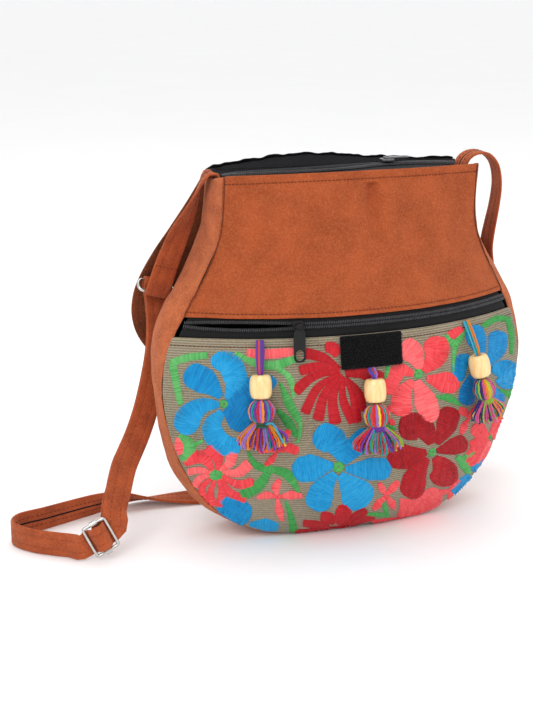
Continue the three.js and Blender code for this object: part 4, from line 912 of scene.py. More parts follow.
def add_arch(tree, given, wide, tall, axis, foot, shoulder, steps):
    """Open arch, its feet and shoulders as shares of a width and a height given to the tree."""
    arch = add_node(tree, "GeometryNodeCurvePrimitiveBezierSegment", Resolution=steps)
    for socket, across, up in (("Start", -foot, 0.0), ("Start Handle", -shoulder, 1.3),
                               ("End Handle", shoulder, 1.3), ("End", foot, 0.0)):
        corner = add_node(tree, "ShaderNodeCombineXYZ")
        link(tree, (scaled(tree, given, wide, across), "Value", corner, axis),
             (scaled(tree, given, tall, up), "Value", corner, "Z"), (corner, "Vector", arch, socket))
    return arch


def zip_teeth_tree():
    """A row of arched teeth across a line, each turned to look the way the line carries."""
    tree, given, out = start_tree(
        "zip_teeth", Pitch="Float", Tooth_Wide="Float", Tooth_Girth="Float", Tooth_Rise="Float",
        Material="Material")
    run = add_node(tree, "GeometryNodeMeshToCurve")
    even = add_node(tree, "GeometryNodeResampleCurve", mode="LENGTH")
    spots = add_node(tree, "GeometryNodeCurveToPoints", mode="EVALUATED")
    look_out = add_node(tree, "GeometryNodeInputNamedAttribute", data_type="FLOAT_VECTOR", Name="out")
    stand_up = add_node(tree, "FunctionNodeAlignRotationToVector", axis="Z")
    follow = add_node(tree, "FunctionNodeAlignRotationToVector", axis="X", pivot_axis="Z")
    arch = add_arch(tree, given, "Tooth Wide", "Tooth Rise", "Y", 0.5, 0.56, 5)
    ring = add_node(tree, "GeometryNodeCurvePrimitiveCircle", Resolution=5)
    tooth = add_node(tree, "GeometryNodeCurveToMesh", Fill_Caps=True)
    row = add_node(tree, "GeometryNodeInstanceOnPoints")
    link(tree, (given, "Geometry", run, "Mesh"), (run, "Curve", even, "Curve"),
         (given, "Pitch", even, "Length"), (even, "Curve", spots, "Curve"),
         (look_out, "Attribute", stand_up, "Vector"), (stand_up, "Rotation", follow, "Rotation"),
         (spots, "Tangent", follow, "Vector"),
         (scaled(tree, given, "Tooth Girth", 0.5), "Value", ring, "Radius"),
         (arch, "Curve", tooth, "Curve"), (ring, "Curve", tooth, "Profile Curve"),
         (spots, "Points", row, "Points"), (tooth, "Mesh", row, "Instance"),
         (follow, "Rotation", row, "Rotation"))
    return end_tree(tree, given, out, row, "Instances")


ZIP_TEETH = zip_teeth_tree()


def coil_line(node, outwards):
    """Middle of a modelled coil's foot along its length, and the way it looks at each station."""
    shape = squared(node)
    corners = sorted((vertex.co.copy() for vertex in shape.verts), key=lambda place: place.x)
    shape.free()
    middles, looks = [], []
    for i in range(0, len(corners) - 3, 4):
        four = sorted(corners[i:i + 4], key=lambda place: place.dot(outwards))
        foot, face = (four[0] + four[1]) / 2, (four[2] + four[3]) / 2
        middles.append(foot + (face - foot) * FOOT_SHARE)
        looks.append((face - foot).normalized())
    return middles, looks


def add_teeth(node, name, outwards, offset):
    """Teeth in place of a modelled coil, started a share of a pitch along it."""
    middles, looks = coil_line(node, outwards)
    middles[0] = middles[0] + (middles[1] - middles[0]).normalized() * offset * TOOTH_PITCH
    teeth = grown(guide(name, [middles], out=[looks]), ZIP_TEETH, Pitch=TOOTH_PITCH, Tooth_Wide=TOOTH_WIDE,
                  Tooth_Girth=TOOTH_GIRTH, Tooth_Rise=TOOTH_RISE, Material=coil_glint_look)
    dress(teeth, node)


def add_tape(node, name):
    tape = smooth_copy(node, name, 2)
    tape.data.materials.append(tape_look)
    dress(tape, node)


for half in ("upper", "lower"):
    add_tape("pocket_tape_" + half, "zip_tape_" + half)
    add_teeth("pocket_coil_" + half, "zip_teeth_" + half, Vector(FRONT), 0.5 if half == "lower" else 0.0)


# Slider and pull of the pocket zip: black enamelled metal, the slider's arch holding a flat blade.
# The blade has an oval finger hole and swings on the arch.
HINGE = Vector((-0.0583979, -0.0537959, 0.1781891))
SLIDER_ALONG = Vector((0.976599, -0.2124416, 0.0335107))
SLIDER_UP = Vector((0.0, SLIDER_ALONG.z, -SLIDER_ALONG.y)).normalized()
SLIDER_OUT = SLIDER_ALONG.cross(SLIDER_UP)
SLIDER_LONG, SLIDER_TALL, SLIDER_DEEP = 0.009, 0.008, 0.0056
ARCH_HALF, ARCH_GIRTH = 0.0031, 0.0016
PULL_WIDE, PULL_LONG, PULL_THICK = 0.009, 0.028, 0.0016
PULL_HOLE = (0.0062, 0.0084)
PULL_LEAN = 0.16
BARREL = (0.0012, 0.0021, 0.004)
BLADE_TOP, BLADE_CORNER, BLADE_EDGE = 0.0015, 0.0038, 0.0003
HOLE_RIM, HOLE_CORNER = 0.0014, 0.0029
BARREL_EDGE = 0.0002
ARCH_FOOT = 0.0028
# Each plate of the slider: shares of its length and height, corner, low and high level, softened edge.
SLIDER_PLATES = (
    (1.0, 1.0, 0.002, 0.0, 0.0011, 0.0003),
    (0.82, 0.74, 0.0014, 0.0008, 0.0024, 0.0002),
    (1.0, 1.0, 0.002, 0.0021, 0.0032, 0.0004),
)


def worn_metal(name, colours, patch, grain, bloom, dullest, **constants):
    """Metal whose gloss changes a little over the surface, up to the dullest roughness."""
    look, tree, shader = start_look(name, **constants)
    mottle = add_mottle(tree, colours, patch, grain, bloom)
    worn = add_node(tree, "ShaderNodeMapRange", To_Min=0.16, To_Max=dullest)
    link(tree, (mottle, "Colour", shader, "Base Color"), (mottle, "Height", worn, "Value"),
         (worn, "Result", shader, "Roughness"))
    return look


enamel_look = worn_metal(
    "black_metal", ((9, 9, 10), (6, 6, 7), (26, 26, 28)), 260.0, 2500.0, 0.25, 0.36, Specular_IOR_Level=0.3)


def rounded_outline(wide, tall, corner, middle=(0.0, 0.0), steps=6):
    """Points round a rectangle with round corners."""
    points = []
    for k, (side, level) in enumerate(((1, 1), (-1, 1), (-1, -1), (1, -1))):
        for i in range(steps + 1):
            turn = math.pi / 2 * (k + i / steps)
            points.append((middle[0] + side * (wide / 2 - corner) + corner * math.cos(turn),
                           middle[1] + level * (tall / 2 - corner) + corner * math.sin(turn)))
    return points


def stamped(outlines, low, high, edge):
    """Flat plate between two levels with softened edges; outlines after the first are holes."""
    sheet = bpy.data.curves.new("stamped", "CURVE")
    sheet.dimensions = "2D"
    sheet.fill_mode = "BOTH"
    sheet.extrude = (high - low) / 2 - edge
    sheet.bevel_depth = edge
    sheet.bevel_resolution = 2
    sheet.offset = -edge
    for outline in outlines:
        run = sheet.splines.new("POLY")
        run.points.add(len(outline) - 1)
        for point, (x, y) in zip(run.points, outline):
            point.co = (x, y, 0.0, 1.0)
        run.use_cyclic_u = True
    holder = add_object("stamped", sheet)
    mesh = evaluated(holder)
    bpy.data.objects.remove(holder)
    mesh.transform(Matrix.Translation((0, 0, (low + high) / 2)))
    return mesh


def bent_wire(points, girth):
    """Round wire along a run of points."""
    wire = bpy.data.curves.new("wire", "CURVE")
    wire.dimensions = "3D"
    wire.bevel_depth = girth / 2
    wire.bevel_resolution = 4
    wire.use_fill_caps = True
    run = wire.splines.new("POLY")
    run.points.add(len(points) - 1)
    for point, place in zip(run.points, points):
        point.co = (*place, 1.0)
    holder = add_object("wire", wire)
    mesh = evaluated(holder)
    bpy.data.objects.remove(holder)
    return mesh


def turned(profile, sides):
    """Closed profile of radius and height spun about the Z axis."""
    shape = bmesh.new()
    rings = []
    for radius, height in profile:
        turn = [2 * math.pi * k / sides for k in range(sides)]
        rings.append([shape.verts.new((radius * math.cos(t), radius * math.sin(t), height)) for t in turn])
    for i in range(len(rings)):
        here, there = rings[i], rings[(i + 1) % len(rings)]
        for k in range(sides):
            shape.faces.new((here[k], here[(k + 1) % sides], there[(k + 1) % sides], there[k]))
    bmesh.ops.recalc_face_normals(shape, faces=shape.faces)
    mesh = bpy.data.meshes.new("turned")
    shape.to_mesh(mesh)
    shape.free()
    return mesh


def assembled(name, meshes, look, x_axis, y_axis, z_axis, origin):
    """One object from meshes made at the origin, set in a frame of axes."""
    shape = bmesh.new()
    for mesh in meshes:
        shape.from_mesh(mesh)
    bmesh.ops.remove_doubles(shape, verts=shape.verts, dist=1e-6)
    seat = Matrix((x_axis, y_axis, z_axis)).transposed().to_4x4()
    seat.translation = origin
    shape.transform(seat)
    whole = bpy.data.meshes.new(name)
    shape.to_mesh(whole)
    shape.free()
    for mesh in meshes:
        bpy.data.meshes.remove(mesh)
    whole.materials.clear()
    whole.materials.append(look)
    piece = smooth(add_object(name, whole))
    whole.set_sharp_from_angle(angle=math.radians(38))
    return piece


arch_right = [(ARCH_HALF * share, 0, SLIDER_DEEP - drop)
              for share, drop in ((0.5, 0.0), (0.8, 0.0001), (1.0, 0.0008))]
arch_right.append((ARCH_HALF, 0, ARCH_FOOT))
arch_run = [(-x, y, z) for x, y, z in reversed(arch_right)] + arch_right
plates = [stamped([rounded_outline(SLIDER_LONG * long, SLIDER_TALL * tall, corner)], low, high, edge)
          for long, tall, corner, low, high, edge in SLIDER_PLATES]
slider = assembled("zip_slider", [*plates, bent_wire(arch_run, ARCH_GIRTH)], enamel_look,
                   SLIDER_ALONG, SLIDER_UP, SLIDER_OUT, HINGE - SLIDER_OUT * SLIDER_DEEP)
dress(slider, "pocket_slider")

lean = Matrix.Rotation(PULL_LEAN, 3, SLIDER_ALONG)
blade_long = PULL_LONG - BLADE_TOP
hole_at = (0.0, -PULL_LONG + PULL_HOLE[1] / 2 + HOLE_RIM)
blade = stamped([
    rounded_outline(PULL_WIDE, blade_long, BLADE_CORNER, (0.0, -BLADE_TOP - blade_long / 2)),
    rounded_outline(*PULL_HOLE, HOLE_CORNER, hole_at)], -PULL_THICK / 2, PULL_THICK / 2, BLADE_EDGE)
rib = stamped([rounded_outline(PULL_WIDE * 0.42, 0.0095, 0.0014, (0.0, -0.0078))], 0.0006, 0.00105, 0.0002)
inner, outer, long = BARREL
ends = long / 2
barrel = turned([
    (inner, -ends), (outer - BARREL_EDGE, -ends), (outer, -ends + BARREL_EDGE),
    (outer, ends - BARREL_EDGE), (outer - BARREL_EDGE, ends), (inner, ends)], 24)
barrel.transform(Matrix.Rotation(math.pi / 2, 4, "Y"))
pull = assembled("zip_pull", [blade, rib, barrel], enamel_look,
                 SLIDER_ALONG, lean @ SLIDER_UP, lean @ SLIDER_OUT, HINGE)
dress(pull, "pocket_pull", "pull")


# Fastening patches: black woven tape, loop pile on the pocket and hooks on the flap's lining.
PILE_DENSITY = 1.5e6
PILE_TALL = 0.0009
PILE_GIRTH = 0.00022
pile_look = mottled_look(
    "pile", ((9, 9, 10), (6, 6, 7), (26, 26, 28)), 120.0, 4000.0, 0.5, 0.0003,
    Roughness=1.0, Sheen_Weight=0.12, Specular_IOR_Level=0.1)


def pile_tree():
    """Small loops of yarn scattered over a surface."""
    tree, given, out = start_tree(
        "pile", Density="Float", Loop_Tall="Float", Loop_Girth="Float", Seed="Int", Material="Material")
    spread = add_node(tree, "GeometryNodeDistributePointsOnFaces")
    tilt = add_node(
        tree, "FunctionNodeRandomValue", data_type="FLOAT_VECTOR",
        Min=(-0.5, -0.5, 0.0), Max=(0.5, 0.5, 2 * math.pi))
    turn = add_node(tree, "FunctionNodeEulerToRotation")
    facing = add_node(tree, "FunctionNodeRotateRotation", rotation_space="LOCAL")
    arch = add_arch(tree, given, "Loop Tall", "Loop Tall", "X", 0.3, 0.75, 4)
    ring = add_node(tree, "GeometryNodeCurvePrimitiveCircle", Resolution=3)
    loop = add_node(tree, "GeometryNodeCurveToMesh")
    tuft = add_node(tree, "GeometryNodeInstanceOnPoints")
    link(tree, (given, "Geometry", spread, "Mesh"), (given, "Density", spread, "Density"),
         (given, "Seed", spread, "Seed"), (given, "Seed", tilt, "Seed"), (tilt, "Value", turn, "Euler"),
         (spread, "Rotation", facing, "Rotation"), (turn, "Rotation", facing, "Rotate By"),
         (scaled(tree, given, "Loop Girth", 0.5), "Value", ring, "Radius"),
         (arch, "Curve", loop, "Curve"), (ring, "Curve", loop, "Profile Curve"),
         (spread, "Points", tuft, "Points"), (loop, "Mesh", tuft, "Instance"),
         (facing, "Rotation", tuft, "Rotation"))
    return end_tree(tree, given, out, tuft, "Instances")


PILE = pile_tree()


def add_patch(node, name, outwards, tall, seed):
    """Woven patch with its pile standing on the outer face."""
    patch = smooth_copy(node, name, 2)
    patch.data.materials.append(pile_look)
    shape = bmesh.new()
    shape.from_mesh(patch.data)
    bmesh.ops.delete(shape, geom=[f for f in shape.faces if f.normal.dot(outwards) < 0.5], context="FACES")
    field = bpy.data.meshes.new(name + "_pile")
    shape.to_mesh(field)
    shape.free()
    pile = grown(add_object(name + "_pile", field), PILE, Density=PILE_DENSITY, Loop_Tall=tall,
                 Loop_Girth=PILE_GIRTH, Seed=seed, Material=pile_look)
    for piece in (patch, pile):
        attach(piece, "bag")
    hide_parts(node)


add_patch("loop_patch", "patch_loops", Vector(FRONT), PILE_TALL, 3)
add_patch("flap_patch", "patch_hooks", Vector(BACK), PILE_TALL, 4)


# Mouth zip: black tapes from both edges of the mouth, open on the left up to a nickel slider.
# The slider's tongue lies flat along the closed teeth.
NICKEL = ((196, 195, 190), (176, 175, 171), (222, 221, 217))
MOUTH_SLIDER = (0.011, 0.008, 0.0026)
TONGUE = (0.022, 0.006, 0.0014)
TONGUE_BACK = 0.003
LOOP_HALF, LOOP_FOOT, LOOP_SHOULDER, LOOP_TOP = 0.002, 0.002, 0.0034, 0.0042
nickel_look = worn_metal("nickel", NICKEL, 180.0, 2200.0, 0.5, 0.34, Metallic=1.0)
dull_look = mottled_look(
    "dull_nickel", ((118, 118, 120), (92, 92, 95), (170, 170, 172)), 240.0, 2600.0, 0.5, 0.00005,
    Metallic=1.0, Roughness=0.32)

for half in ("front", "back"):
    add_tape("mouth_tape_" + half, "mouth_zip_tape_" + half)
    add_teeth("mouth_coil_" + half, "mouth_zip_teeth_" + half, Vector((0, 0, 1)),
              0.5 if half == "back" else 0.0)

low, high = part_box("mouth_slider")
seat = Vector((low.x + MOUTH_SLIDER[0] / 2, (low.y + high.y) / 2, low.z))
rise = high.z - low.z
loop = [(-LOOP_HALF, 0, LOOP_FOOT), (-LOOP_HALF, 0, LOOP_SHOULDER), (0.0, 0, LOOP_TOP),
        (LOOP_HALF, 0, LOOP_SHOULDER), (LOOP_HALF, 0, LOOP_FOOT)]
mouth_slider = assembled("mouth_zip_slider", [
    stamped([rounded_outline(*MOUTH_SLIDER[:2], 0.0024)], 0.0, MOUTH_SLIDER[2], 0.0005),
    stamped([rounded_outline(*TONGUE[:2], 0.0026, (TONGUE[0] / 2 - TONGUE_BACK, 0.0)),
             rounded_outline(0.006, 0.0026, 0.0012, (0.0145, 0.0))], rise - TONGUE[2], rise, 0.0003),
    bent_wire(loop, 0.0012)],
    dull_look, Vector((1, 0, 0)), Vector((0, 1, 0)), Vector((0, 0, 1)), seat)
dress(mouth_slider, "mouth_slider")


# Flap: a wide suede leaf joined along the back edge of the mouth, thrown back and hanging behind.
# Its black lining, crinkled over the fold, looks to the rear; both are sewn together near the edge.
FLAP_CUT = (0.315, 0.208)
FLAP_AREA = 0.0530
LINING_CUT = (0.312, 0.204)
LINING_AREA = 0.0520
FLAP_SEAM_IN = 0.0050
CREST_RISE = 0.0036
FOLD_SEAM_Z = 0.2865
CREST_CRINKLE = 0.0014
CREST_REACH = 0.014
CREST_LOW, CREST_TALL = 0.272, 0.014
CREST_MIDDLE, CREST_HALF = -0.015, 0.1
CREST_WAVES = ((1.0, 0.013, 43), (0.6, 0.006, 44))
REACH_FROM, REACH_OVER = 0.05, 0.05
REACH_LOW, REACH_TALL = 0.255, 0.02
HANG_TOP, HANG_FADE = 0.27, 0.05
HANG_WAVES = ((0.0016, 0.045, 41), (0.0008, 0.016, 42))
TURN_Z, TURN_BEHIND = 0.266, 0.004
LEAF_TOP, RIM_TOP = 0.268, 0.262
LEAF_WINDOW = ((-0.16, 0.09), (0.16, 0.28))
CREST_WINDOW = ((-0.100, 0.274), (0.112, 0.294))
UP = np.array((0.0, 0.0, 1.0))
FOLD_INWARD = np.array((0.0, 0.6, -0.8))
# The flap's suede is painted darker than the body's: painted shade, as it hangs behind on the shadow side.
shaded_flap_look = mottled_look(
    "suede_flap", ((120, 59, 33), (88, 42, 23), (152, 88, 57)), 60.0, 700.0, 0.5, 0.0012,
    Roughness=0.97, Sheen_Weight=0.25, Sheen_Roughness=0.5, Sheen_Tint=dye(255, 205, 170),
    Specular_IOR_Level=0.1)


def hung(piece, crinkle):
    """Soft waves in the hanging leaf, and its fold drawn out to the right and crinkled along the crest."""
    places = points_of(piece)
    hang = np.clip((HANG_TOP - places[:, 2]) / HANG_FADE, 0.0, 1.0)
    flat = places * (1, 0, 1)
    push = hang * waves(flat, *HANG_WAVES)
    crest = ramp(places[:, 2], CREST_LOW, CREST_TALL)
    rise = CREST_RISE * (1 - np.clip(abs(places[:, 0] - CREST_MIDDLE) / CREST_HALF, 0.0, 1.0) ** 2)
    rise += crinkle * waves(flat, *CREST_WAVES)
    right = ramp(places[:, 0], REACH_FROM, REACH_OVER)
    places[:, 0] += CREST_REACH * right * ramp(places[:, 2], REACH_LOW, REACH_TALL)
    set_points(piece, places + push[:, None] * FRONT + (crest * rise)[:, None] * UP)


flap = smooth_copy("flap", "suede_flap", 3)
hung(flap, 0.6 * CREST_CRINKLE)
turn_y = max(points_of(flap), key=lambda place: place[2])[1] + TURN_BEHIND


def flap_outwards(at):
    """The way the flap's suede looks: inwards on the turned fold, forwards where it hangs."""
    return np.where((at[:, 2:] > TURN_Z) & (at[:, 1:2] < turn_y), FOLD_INWARD, FRONT)


two_sided(flap, shaded_flap_look, lining_look, flap_outwards)
lining = smooth_copy("flap_lining", "cloth_lining", 3)
hung(lining, CREST_CRINKLE)
lining.data.materials.append(lining_look)


def border_line(piece, surface, inset, proud):
    """Line a little way inside a hanging leaf's outline, from one side of the fold round to the other."""
    places = points_of(piece)
    flat = [(x, z) for x, y, z in places if z < LEAF_TOP]
    rim = [np.array(flat[i]) for i in convex_hull_2d([Vector(p) for p in flat])]
    middle = np.mean(rim, axis=0)
    ring = np.array([p for p in rim if p[1] < RIM_TOP])
    ring = ring[np.argsort([math.atan2(x - middle[0], -(z - middle[1])) for x, z in ring])]
    run = even_run(ring, 0.003)[0]
    heading = unit_rows(np.gradient(run, axis=0))
    inward = run + np.column_stack((-heading[:, 1], heading[:, 0])) * inset
    return [lie_on(surface, x, z, proud)[0] for x, z in inward]


fold_face = surface_of(flap, *CREST_WINDOW, 0.002)
fold_line = [lie_on(fold_face, x, FOLD_SEAM_Z, 0.0004)[0] for x in np.arange(-0.094, 0.100, 0.003)]
sew("fold_stitches", [fold_line], lining_look, seed=7)
flap_face = surface_of(flap, *LEAF_WINDOW, 0.004)
lining_face = surface_of(lining, *LEAF_WINDOW, 0.004, back=True)
flap_line = border_line(flap, flap_face, FLAP_SEAM_IN, 0.0001)
flap_seam = sew("flap_stitches", [flap_line], seam_thread_look, seed=5)
lining_line = border_line(lining, lining_face, FLAP_SEAM_IN, 0.0001)
lining_seam = sew("lining_stitches", [lining_line], seam_thread_look, seed=6)
for piece, node, cut, area, seam in (
        (flap, "flap", FLAP_CUT, FLAP_AREA, flap_seam),
        (lining, "flap_lining", LINING_CUT, LINING_AREA, lining_seam)):
    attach(piece, "bag")
    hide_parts(node)


# Strap and tab: suede folded in thirds to a band with a slit down one face, sewn in two rows.
# The short tab holds a ring at the left; the long strap runs from the ring through the slide,
# round on the floor and up to the right end of the mouth.
# Faces inside the slit take the black lining material: painted shade down the slit.
SHADED_SLIT_SIDES = range(17, 20)
STRAP_ROWS = 0.0042
STRAP_STEP = 0.004
TAB_BAR = 0.032
BAR_HALF = 0.0085
BAR_PROUD = 0.00116
# Section of the folded band in millimetres: across it and out of its plain face.
STRAP_PROFILE = (
    (-9.95, 0.0), (-9.6, 0.75), (-8.8, 1.08), (-4.9, 1.1), (-4.2, 0.9), (-3.5, 1.1),
    (3.5, 1.1), (4.2, 0.9), (4.9, 1.1), (8.8, 1.08), (9.6, 0.75), (9.95, 0.0),
    (9.6, -0.75), (8.8, -1.08), (4.9, -1.1), (4.2, -0.9), (3.5, -1.1), (0.7, -1.14), (0.3, -0.1),
    (-0.3, -0.1), (-0.7, -1.14), (-3.5, -1.1), (-4.2, -0.9), (-4.9, -1.1), (-8.8, -1.08), (-9.6, -0.75))
strap_look = mottled_look(
    "suede_strap", ((172, 80, 44), (138, 60, 33), (198, 114, 74)), 55.0, 800.0, 0.4, 0.0007,
    Sheen_Weight=0.3, Sheen_Tint=dye(255, 205, 170), **SUEDE_NAP)
plain_thread_look = mottled_look(
    "plain_thread", ((138, 65, 37), (116, 53, 30), (160, 86, 53)), 300.0, 5000.0, 0.5, 0.0001,
    Roughness=0.85, Specular_IOR_Level=0.2)


def band_rows(node, end, plain):
    """Middle, width and face of a modelled band at each station, from the given end on.

    plain is the way its plain face looks at that end.
    """
    shape = squared(node)
    shape.verts.index_update()
    ring = sorted(shape.verts, key=lambda corner: (corner.co - end).length)[:4]
    passed, rows = set(), []
    while ring:
        corners = np.array([corner.co for corner in ring])
        middle = corners.mean(axis=0)
        first, near = sorted(
            corners - middle, key=lambda corner: np.linalg.norm(corner - corners[0] + middle))[:2]
        wide, face = (first + near) / 2, (first - near) / 2
        if wide.dot(rows[-1][3:6] if rows else wide) < 0:
            wide = -wide
        if face.dot(rows[-1][6:] if rows else plain) < 0:
            face = -face
        rows.append(np.r_[middle, wide, face])
        passed.update(ring)
        beyond = {edge.other_vert(corner) for corner in ring for edge in corner.link_edges} - passed
        ring = sorted(beyond, key=lambda corner: corner.index)
    shape.free()
    return np.array(rows)


def add_band(name, node, end, plain, bar=None):
    """Band with the folded section swept along its modelled route, and its two rows of stitches."""
    rows = band_rows(node, Vector(end), plain)
    long = np.linalg.norm(np.diff(rows[:, :3], axis=0), axis=1).sum()
    rows = flowing(rows, int(long / STRAP_STEP))
    middle = rows[:, :3]
    ahead = unit_rows(np.gradient(middle, axis=0))
    wide = unit_rows(rows[:, 3:6] - ahead * np.sum(rows[:, 3:6] * ahead, axis=1, keepdims=True))
    face = unit_rows(rows[:, 6:] - ahead * np.sum(rows[:, 6:] * ahead, axis=1, keepdims=True))
    count = len(STRAP_PROFILE)
    points = [m + w * u * 0.001 + f * v * 0.001
              for m, w, f in zip(middle, wide, face) for u, v in STRAP_PROFILE]
    faces = [tuple(range(count)), tuple(range(len(points) - count, len(points)))]
    for i in range(len(rows) - 1):
        for k in range(count):
            n = (k + 1) % count
            faces.append((i * count + k, i * count + n, (i + 1) * count + n, (i + 1) * count + k))
    shape = bmesh.new()
    corners = [shape.verts.new(p) for p in points]
    for k, loop in enumerate(faces, -2):
        made = shape.faces.new([corners[i] for i in loop])
        made.material_index = int(k >= 0 and k % count in SHADED_SLIT_SIDES)
    bmesh.ops.recalc_face_normals(shape, faces=shape.faces)
    mesh = bpy.data.meshes.new(name)
    shape.to_mesh(mesh)
    shape.free()
    mesh.materials.append(strap_look)
    mesh.materials.append(lining_look)
    band = smooth(add_object(name, mesh))
    lines = [[m + w * u + f * v for m, w, f in zip(middle, wide, face)][3:-3]
             for u in (-STRAP_ROWS, STRAP_ROWS) for v in (-0.00105, 0.00105)]
    sew(name + "_stitches_slit", lines[0::2], seam_thread_look,
        stitch=0.0028, space=0.0012, thread=0.0006, seed=8)
    sew(name + "_stitches_plain", lines[1::2], plain_thread_look,
        stitch=0.0026, space=0.0014, thread=0.0004, seed=9)
    if bar:
        at = len(rows) - 1 - round(bar / STRAP_STEP)
        across = [middle[at] + wide[at] * u + face[at] * BAR_PROUD
                  for u in np.linspace(-BAR_HALF, BAR_HALF, 9)]
        sew(name + "_bar_stitches", [across], seam_thread_look, thread=0.0005, seed=10)
    dress(band, node)


add_band("suede_tab", "strap_tab", (-0.1026, 0.005, 0.270), (-1, 0, 0), bar=TAB_BAR)
add_band("suede_strap", "strap", (0.1026, 0.005, 0.270), (1, 0, 0))


# Ring and slide: bent nickel wire, the ring between the tab and the strap, the slide on the strap.
# The slide's middle bar is held by eyes bent round the frame's short sides.
WIRE_SWELL = 0.00022
SLIDE_MIDDLE = Vector((-0.2075, -0.023, 0.0186))
SLIDE_ACROSS = Vector((0.9, 0.0, 0.43)).normalized()
SLIDE_LEAN = Vector((0.42, -0.15, -0.89))
SLIDE_ALONG = (SLIDE_LEAN - SLIDE_ACROSS * SLIDE_LEAN.dot(SLIDE_ACROSS)).normalized()
SLIDE_BAR_HALF = 0.0122
EYE_RADIUS = 0.0026
EYE_BORE = 0.00135
EYE_HALF = 0.0025
EYE_BELLY = 0.0002
BAR_GIRTH = 0.0022


def add_wire(node, name, levels, swell):
    """Round wire from a faceted one, filled out to its full girth."""
    wire = smooth_copy(node, name, levels, creased=False)
    places = points_of(wire)
    normals = np.empty(3 * len(wire.data.vertices))
    wire.data.vertex_normals.foreach_get("vector", normals)
    set_points(wire, places + normals.reshape(-1, 3) * swell)
    wire.data.materials.append(nickel_look)
    dress(wire, node)


add_wire("strap_ring", "wire_ring", 2, WIRE_SWELL)
add_wire("slide_frame", "slide_wire", 2, WIRE_SWELL)
eyes = []
for end in (-1, 1):
    eye = turned([(EYE_BORE, -EYE_HALF), (EYE_RADIUS, -EYE_HALF), (EYE_RADIUS + EYE_BELLY, 0.0),
                  (EYE_RADIUS, EYE_HALF), (EYE_BORE, EYE_HALF)], 16)
    eye.transform(Matrix.Translation((end * SLIDE_BAR_HALF, 0.0, 0.0)))
    eyes.append(eye)
bar_half = SLIDE_BAR_HALF - EYE_RADIUS
bar = bent_wire([(-bar_half, 0, 0), (bar_half, 0, 0)], BAR_GIRTH)
slide_out = SLIDE_ALONG.cross(SLIDE_ACROSS).normalized()
slide_bar = assembled("slide_crossbar", [bar, *eyes], nickel_look,
                      SLIDE_ALONG, slide_out, -SLIDE_ACROSS, SLIDE_MIDDLE)
dress(slide_bar, "slide_bar")


# Tassels: a hank of wool yarn from the pocket's edge through a turned wooden bead to a wound ball.
# The ball is tied at the waist and its ends spread in a skirt.
BEAD_RADIUS, BEAD_TALL, BEAD_BORE = 0.0085, 0.018, 0.0029
BALL_RADIUS, BALL_TALL = 0.010, 0.0185
CLEAR = 0.0014
YARN = {
    "purple": (116, 50, 168), "coral": (226, 74, 70), "blue": (48, 92, 190), "orange": (248, 140, 30),
    "yellow": (240, 206, 44), "red": (226, 30, 50), "cyan": (60, 178, 214), "teal": (0, 156, 150),
    "lilac": (164, 112, 204), "indigo": (58, 44, 130), "pink": (232, 92, 150), "lime": (150, 196, 56),
    "forest": (28, 92, 58)}
TASSELS = {
    "left": {"top": (-0.085, 0.1666), "bead": (-0.0862, 0.134), "ball": (-0.0862, 0.1156), "size": 1.0,
             "hanger": ("purple", "coral", "blue", "purple"), "tie": "forest", "loose": "cyan",
             "colours": ("orange", "lilac", "yellow", "red", "purple", "orange", "teal",
                         "purple", "coral")},
    "middle": {"top": (-0.0015, 0.1416), "bead": (-0.0025, 0.126), "ball": (-0.0025, 0.107), "size": 1.0,
               "hanger": ("purple", "blue", "red", "lilac"), "tie": "purple",
               "colours": ("red", "yellow", "teal", "lilac", "red", "purple", "coral", "teal", "lime")},
    "right": {"top": (0.088, 0.1666), "bead": (0.0925, 0.1316), "ball": (0.0955, 0.1126), "size": 0.88,
              "hanger": ("cyan", "teal", "orange", "orange"), "tie": "lime",
              "colours": ("indigo", "pink", "lime", "teal", "yellow", "orange", "indigo", "pink")},
}
BALL_STRANDS = 26
SKIRT_STRANDS = 104
HANGER_GIRTH = 0.0017
TIE_GIRTH = 0.0014
LOOSE_GIRTH = 0.0018
BEAD_END = 0.0050
BEAD_CHAMFER = 0.0006
FUZZ_DEEP = 0.0003

wood_look, tree, shader = start_look("pale_wood", Roughness=0.34, Coat_Weight=0.5, Coat_Roughness=0.12)
place = add_node(tree, "ShaderNodeTexCoord")
stretch = add_node(tree, "ShaderNodeMapping", Scale=(420.0, 420.0, 50.0))
grain = add_node(tree, "ShaderNodeTexNoise", Scale=1.0, Detail=5.0)
vein = add_node(tree, "ShaderNodeMapRange", From_Min=0.35, From_Max=0.7)
tint = add_node(tree, "ShaderNodeMix", data_type="RGBA", A=dye(246, 214, 154), B=dye(230, 190, 120))
link(tree, (place, "Object", stretch, "Vector"), (stretch, "Vector", grain, "Vector"),
     (grain, "Fac", vein, "Value"), (vein, "Result", tint, "Factor"),
     (tint, "Result", shader, "Base Color"))

yarn_look, tree, shader = start_look("yarn", Roughness=0.92, Sheen_Weight=0.3, Specular_IOR_Level=0.15)
colour = add_node(tree, "ShaderNodeAttribute", attribute_name="dye")
place = add_node(tree, "ShaderNodeTexCoord")
fuzz = add_node(tree, "ShaderNodeTexNoise", Scale=2600.0)
shade = add_node(tree, "ShaderNodeMix", data_type="RGBA", blend_type="MULTIPLY", B=dye(205, 205, 205))
link(tree, (place, "Object", fuzz, "Vector"), (fuzz, "Fac", shade, "Factor"),
     (colour, "Color", shade, "A"), (shade, "Result", shader, "Base Color"))
add_relief(tree, shader, fuzz, "Fac", FUZZ_DEEP)


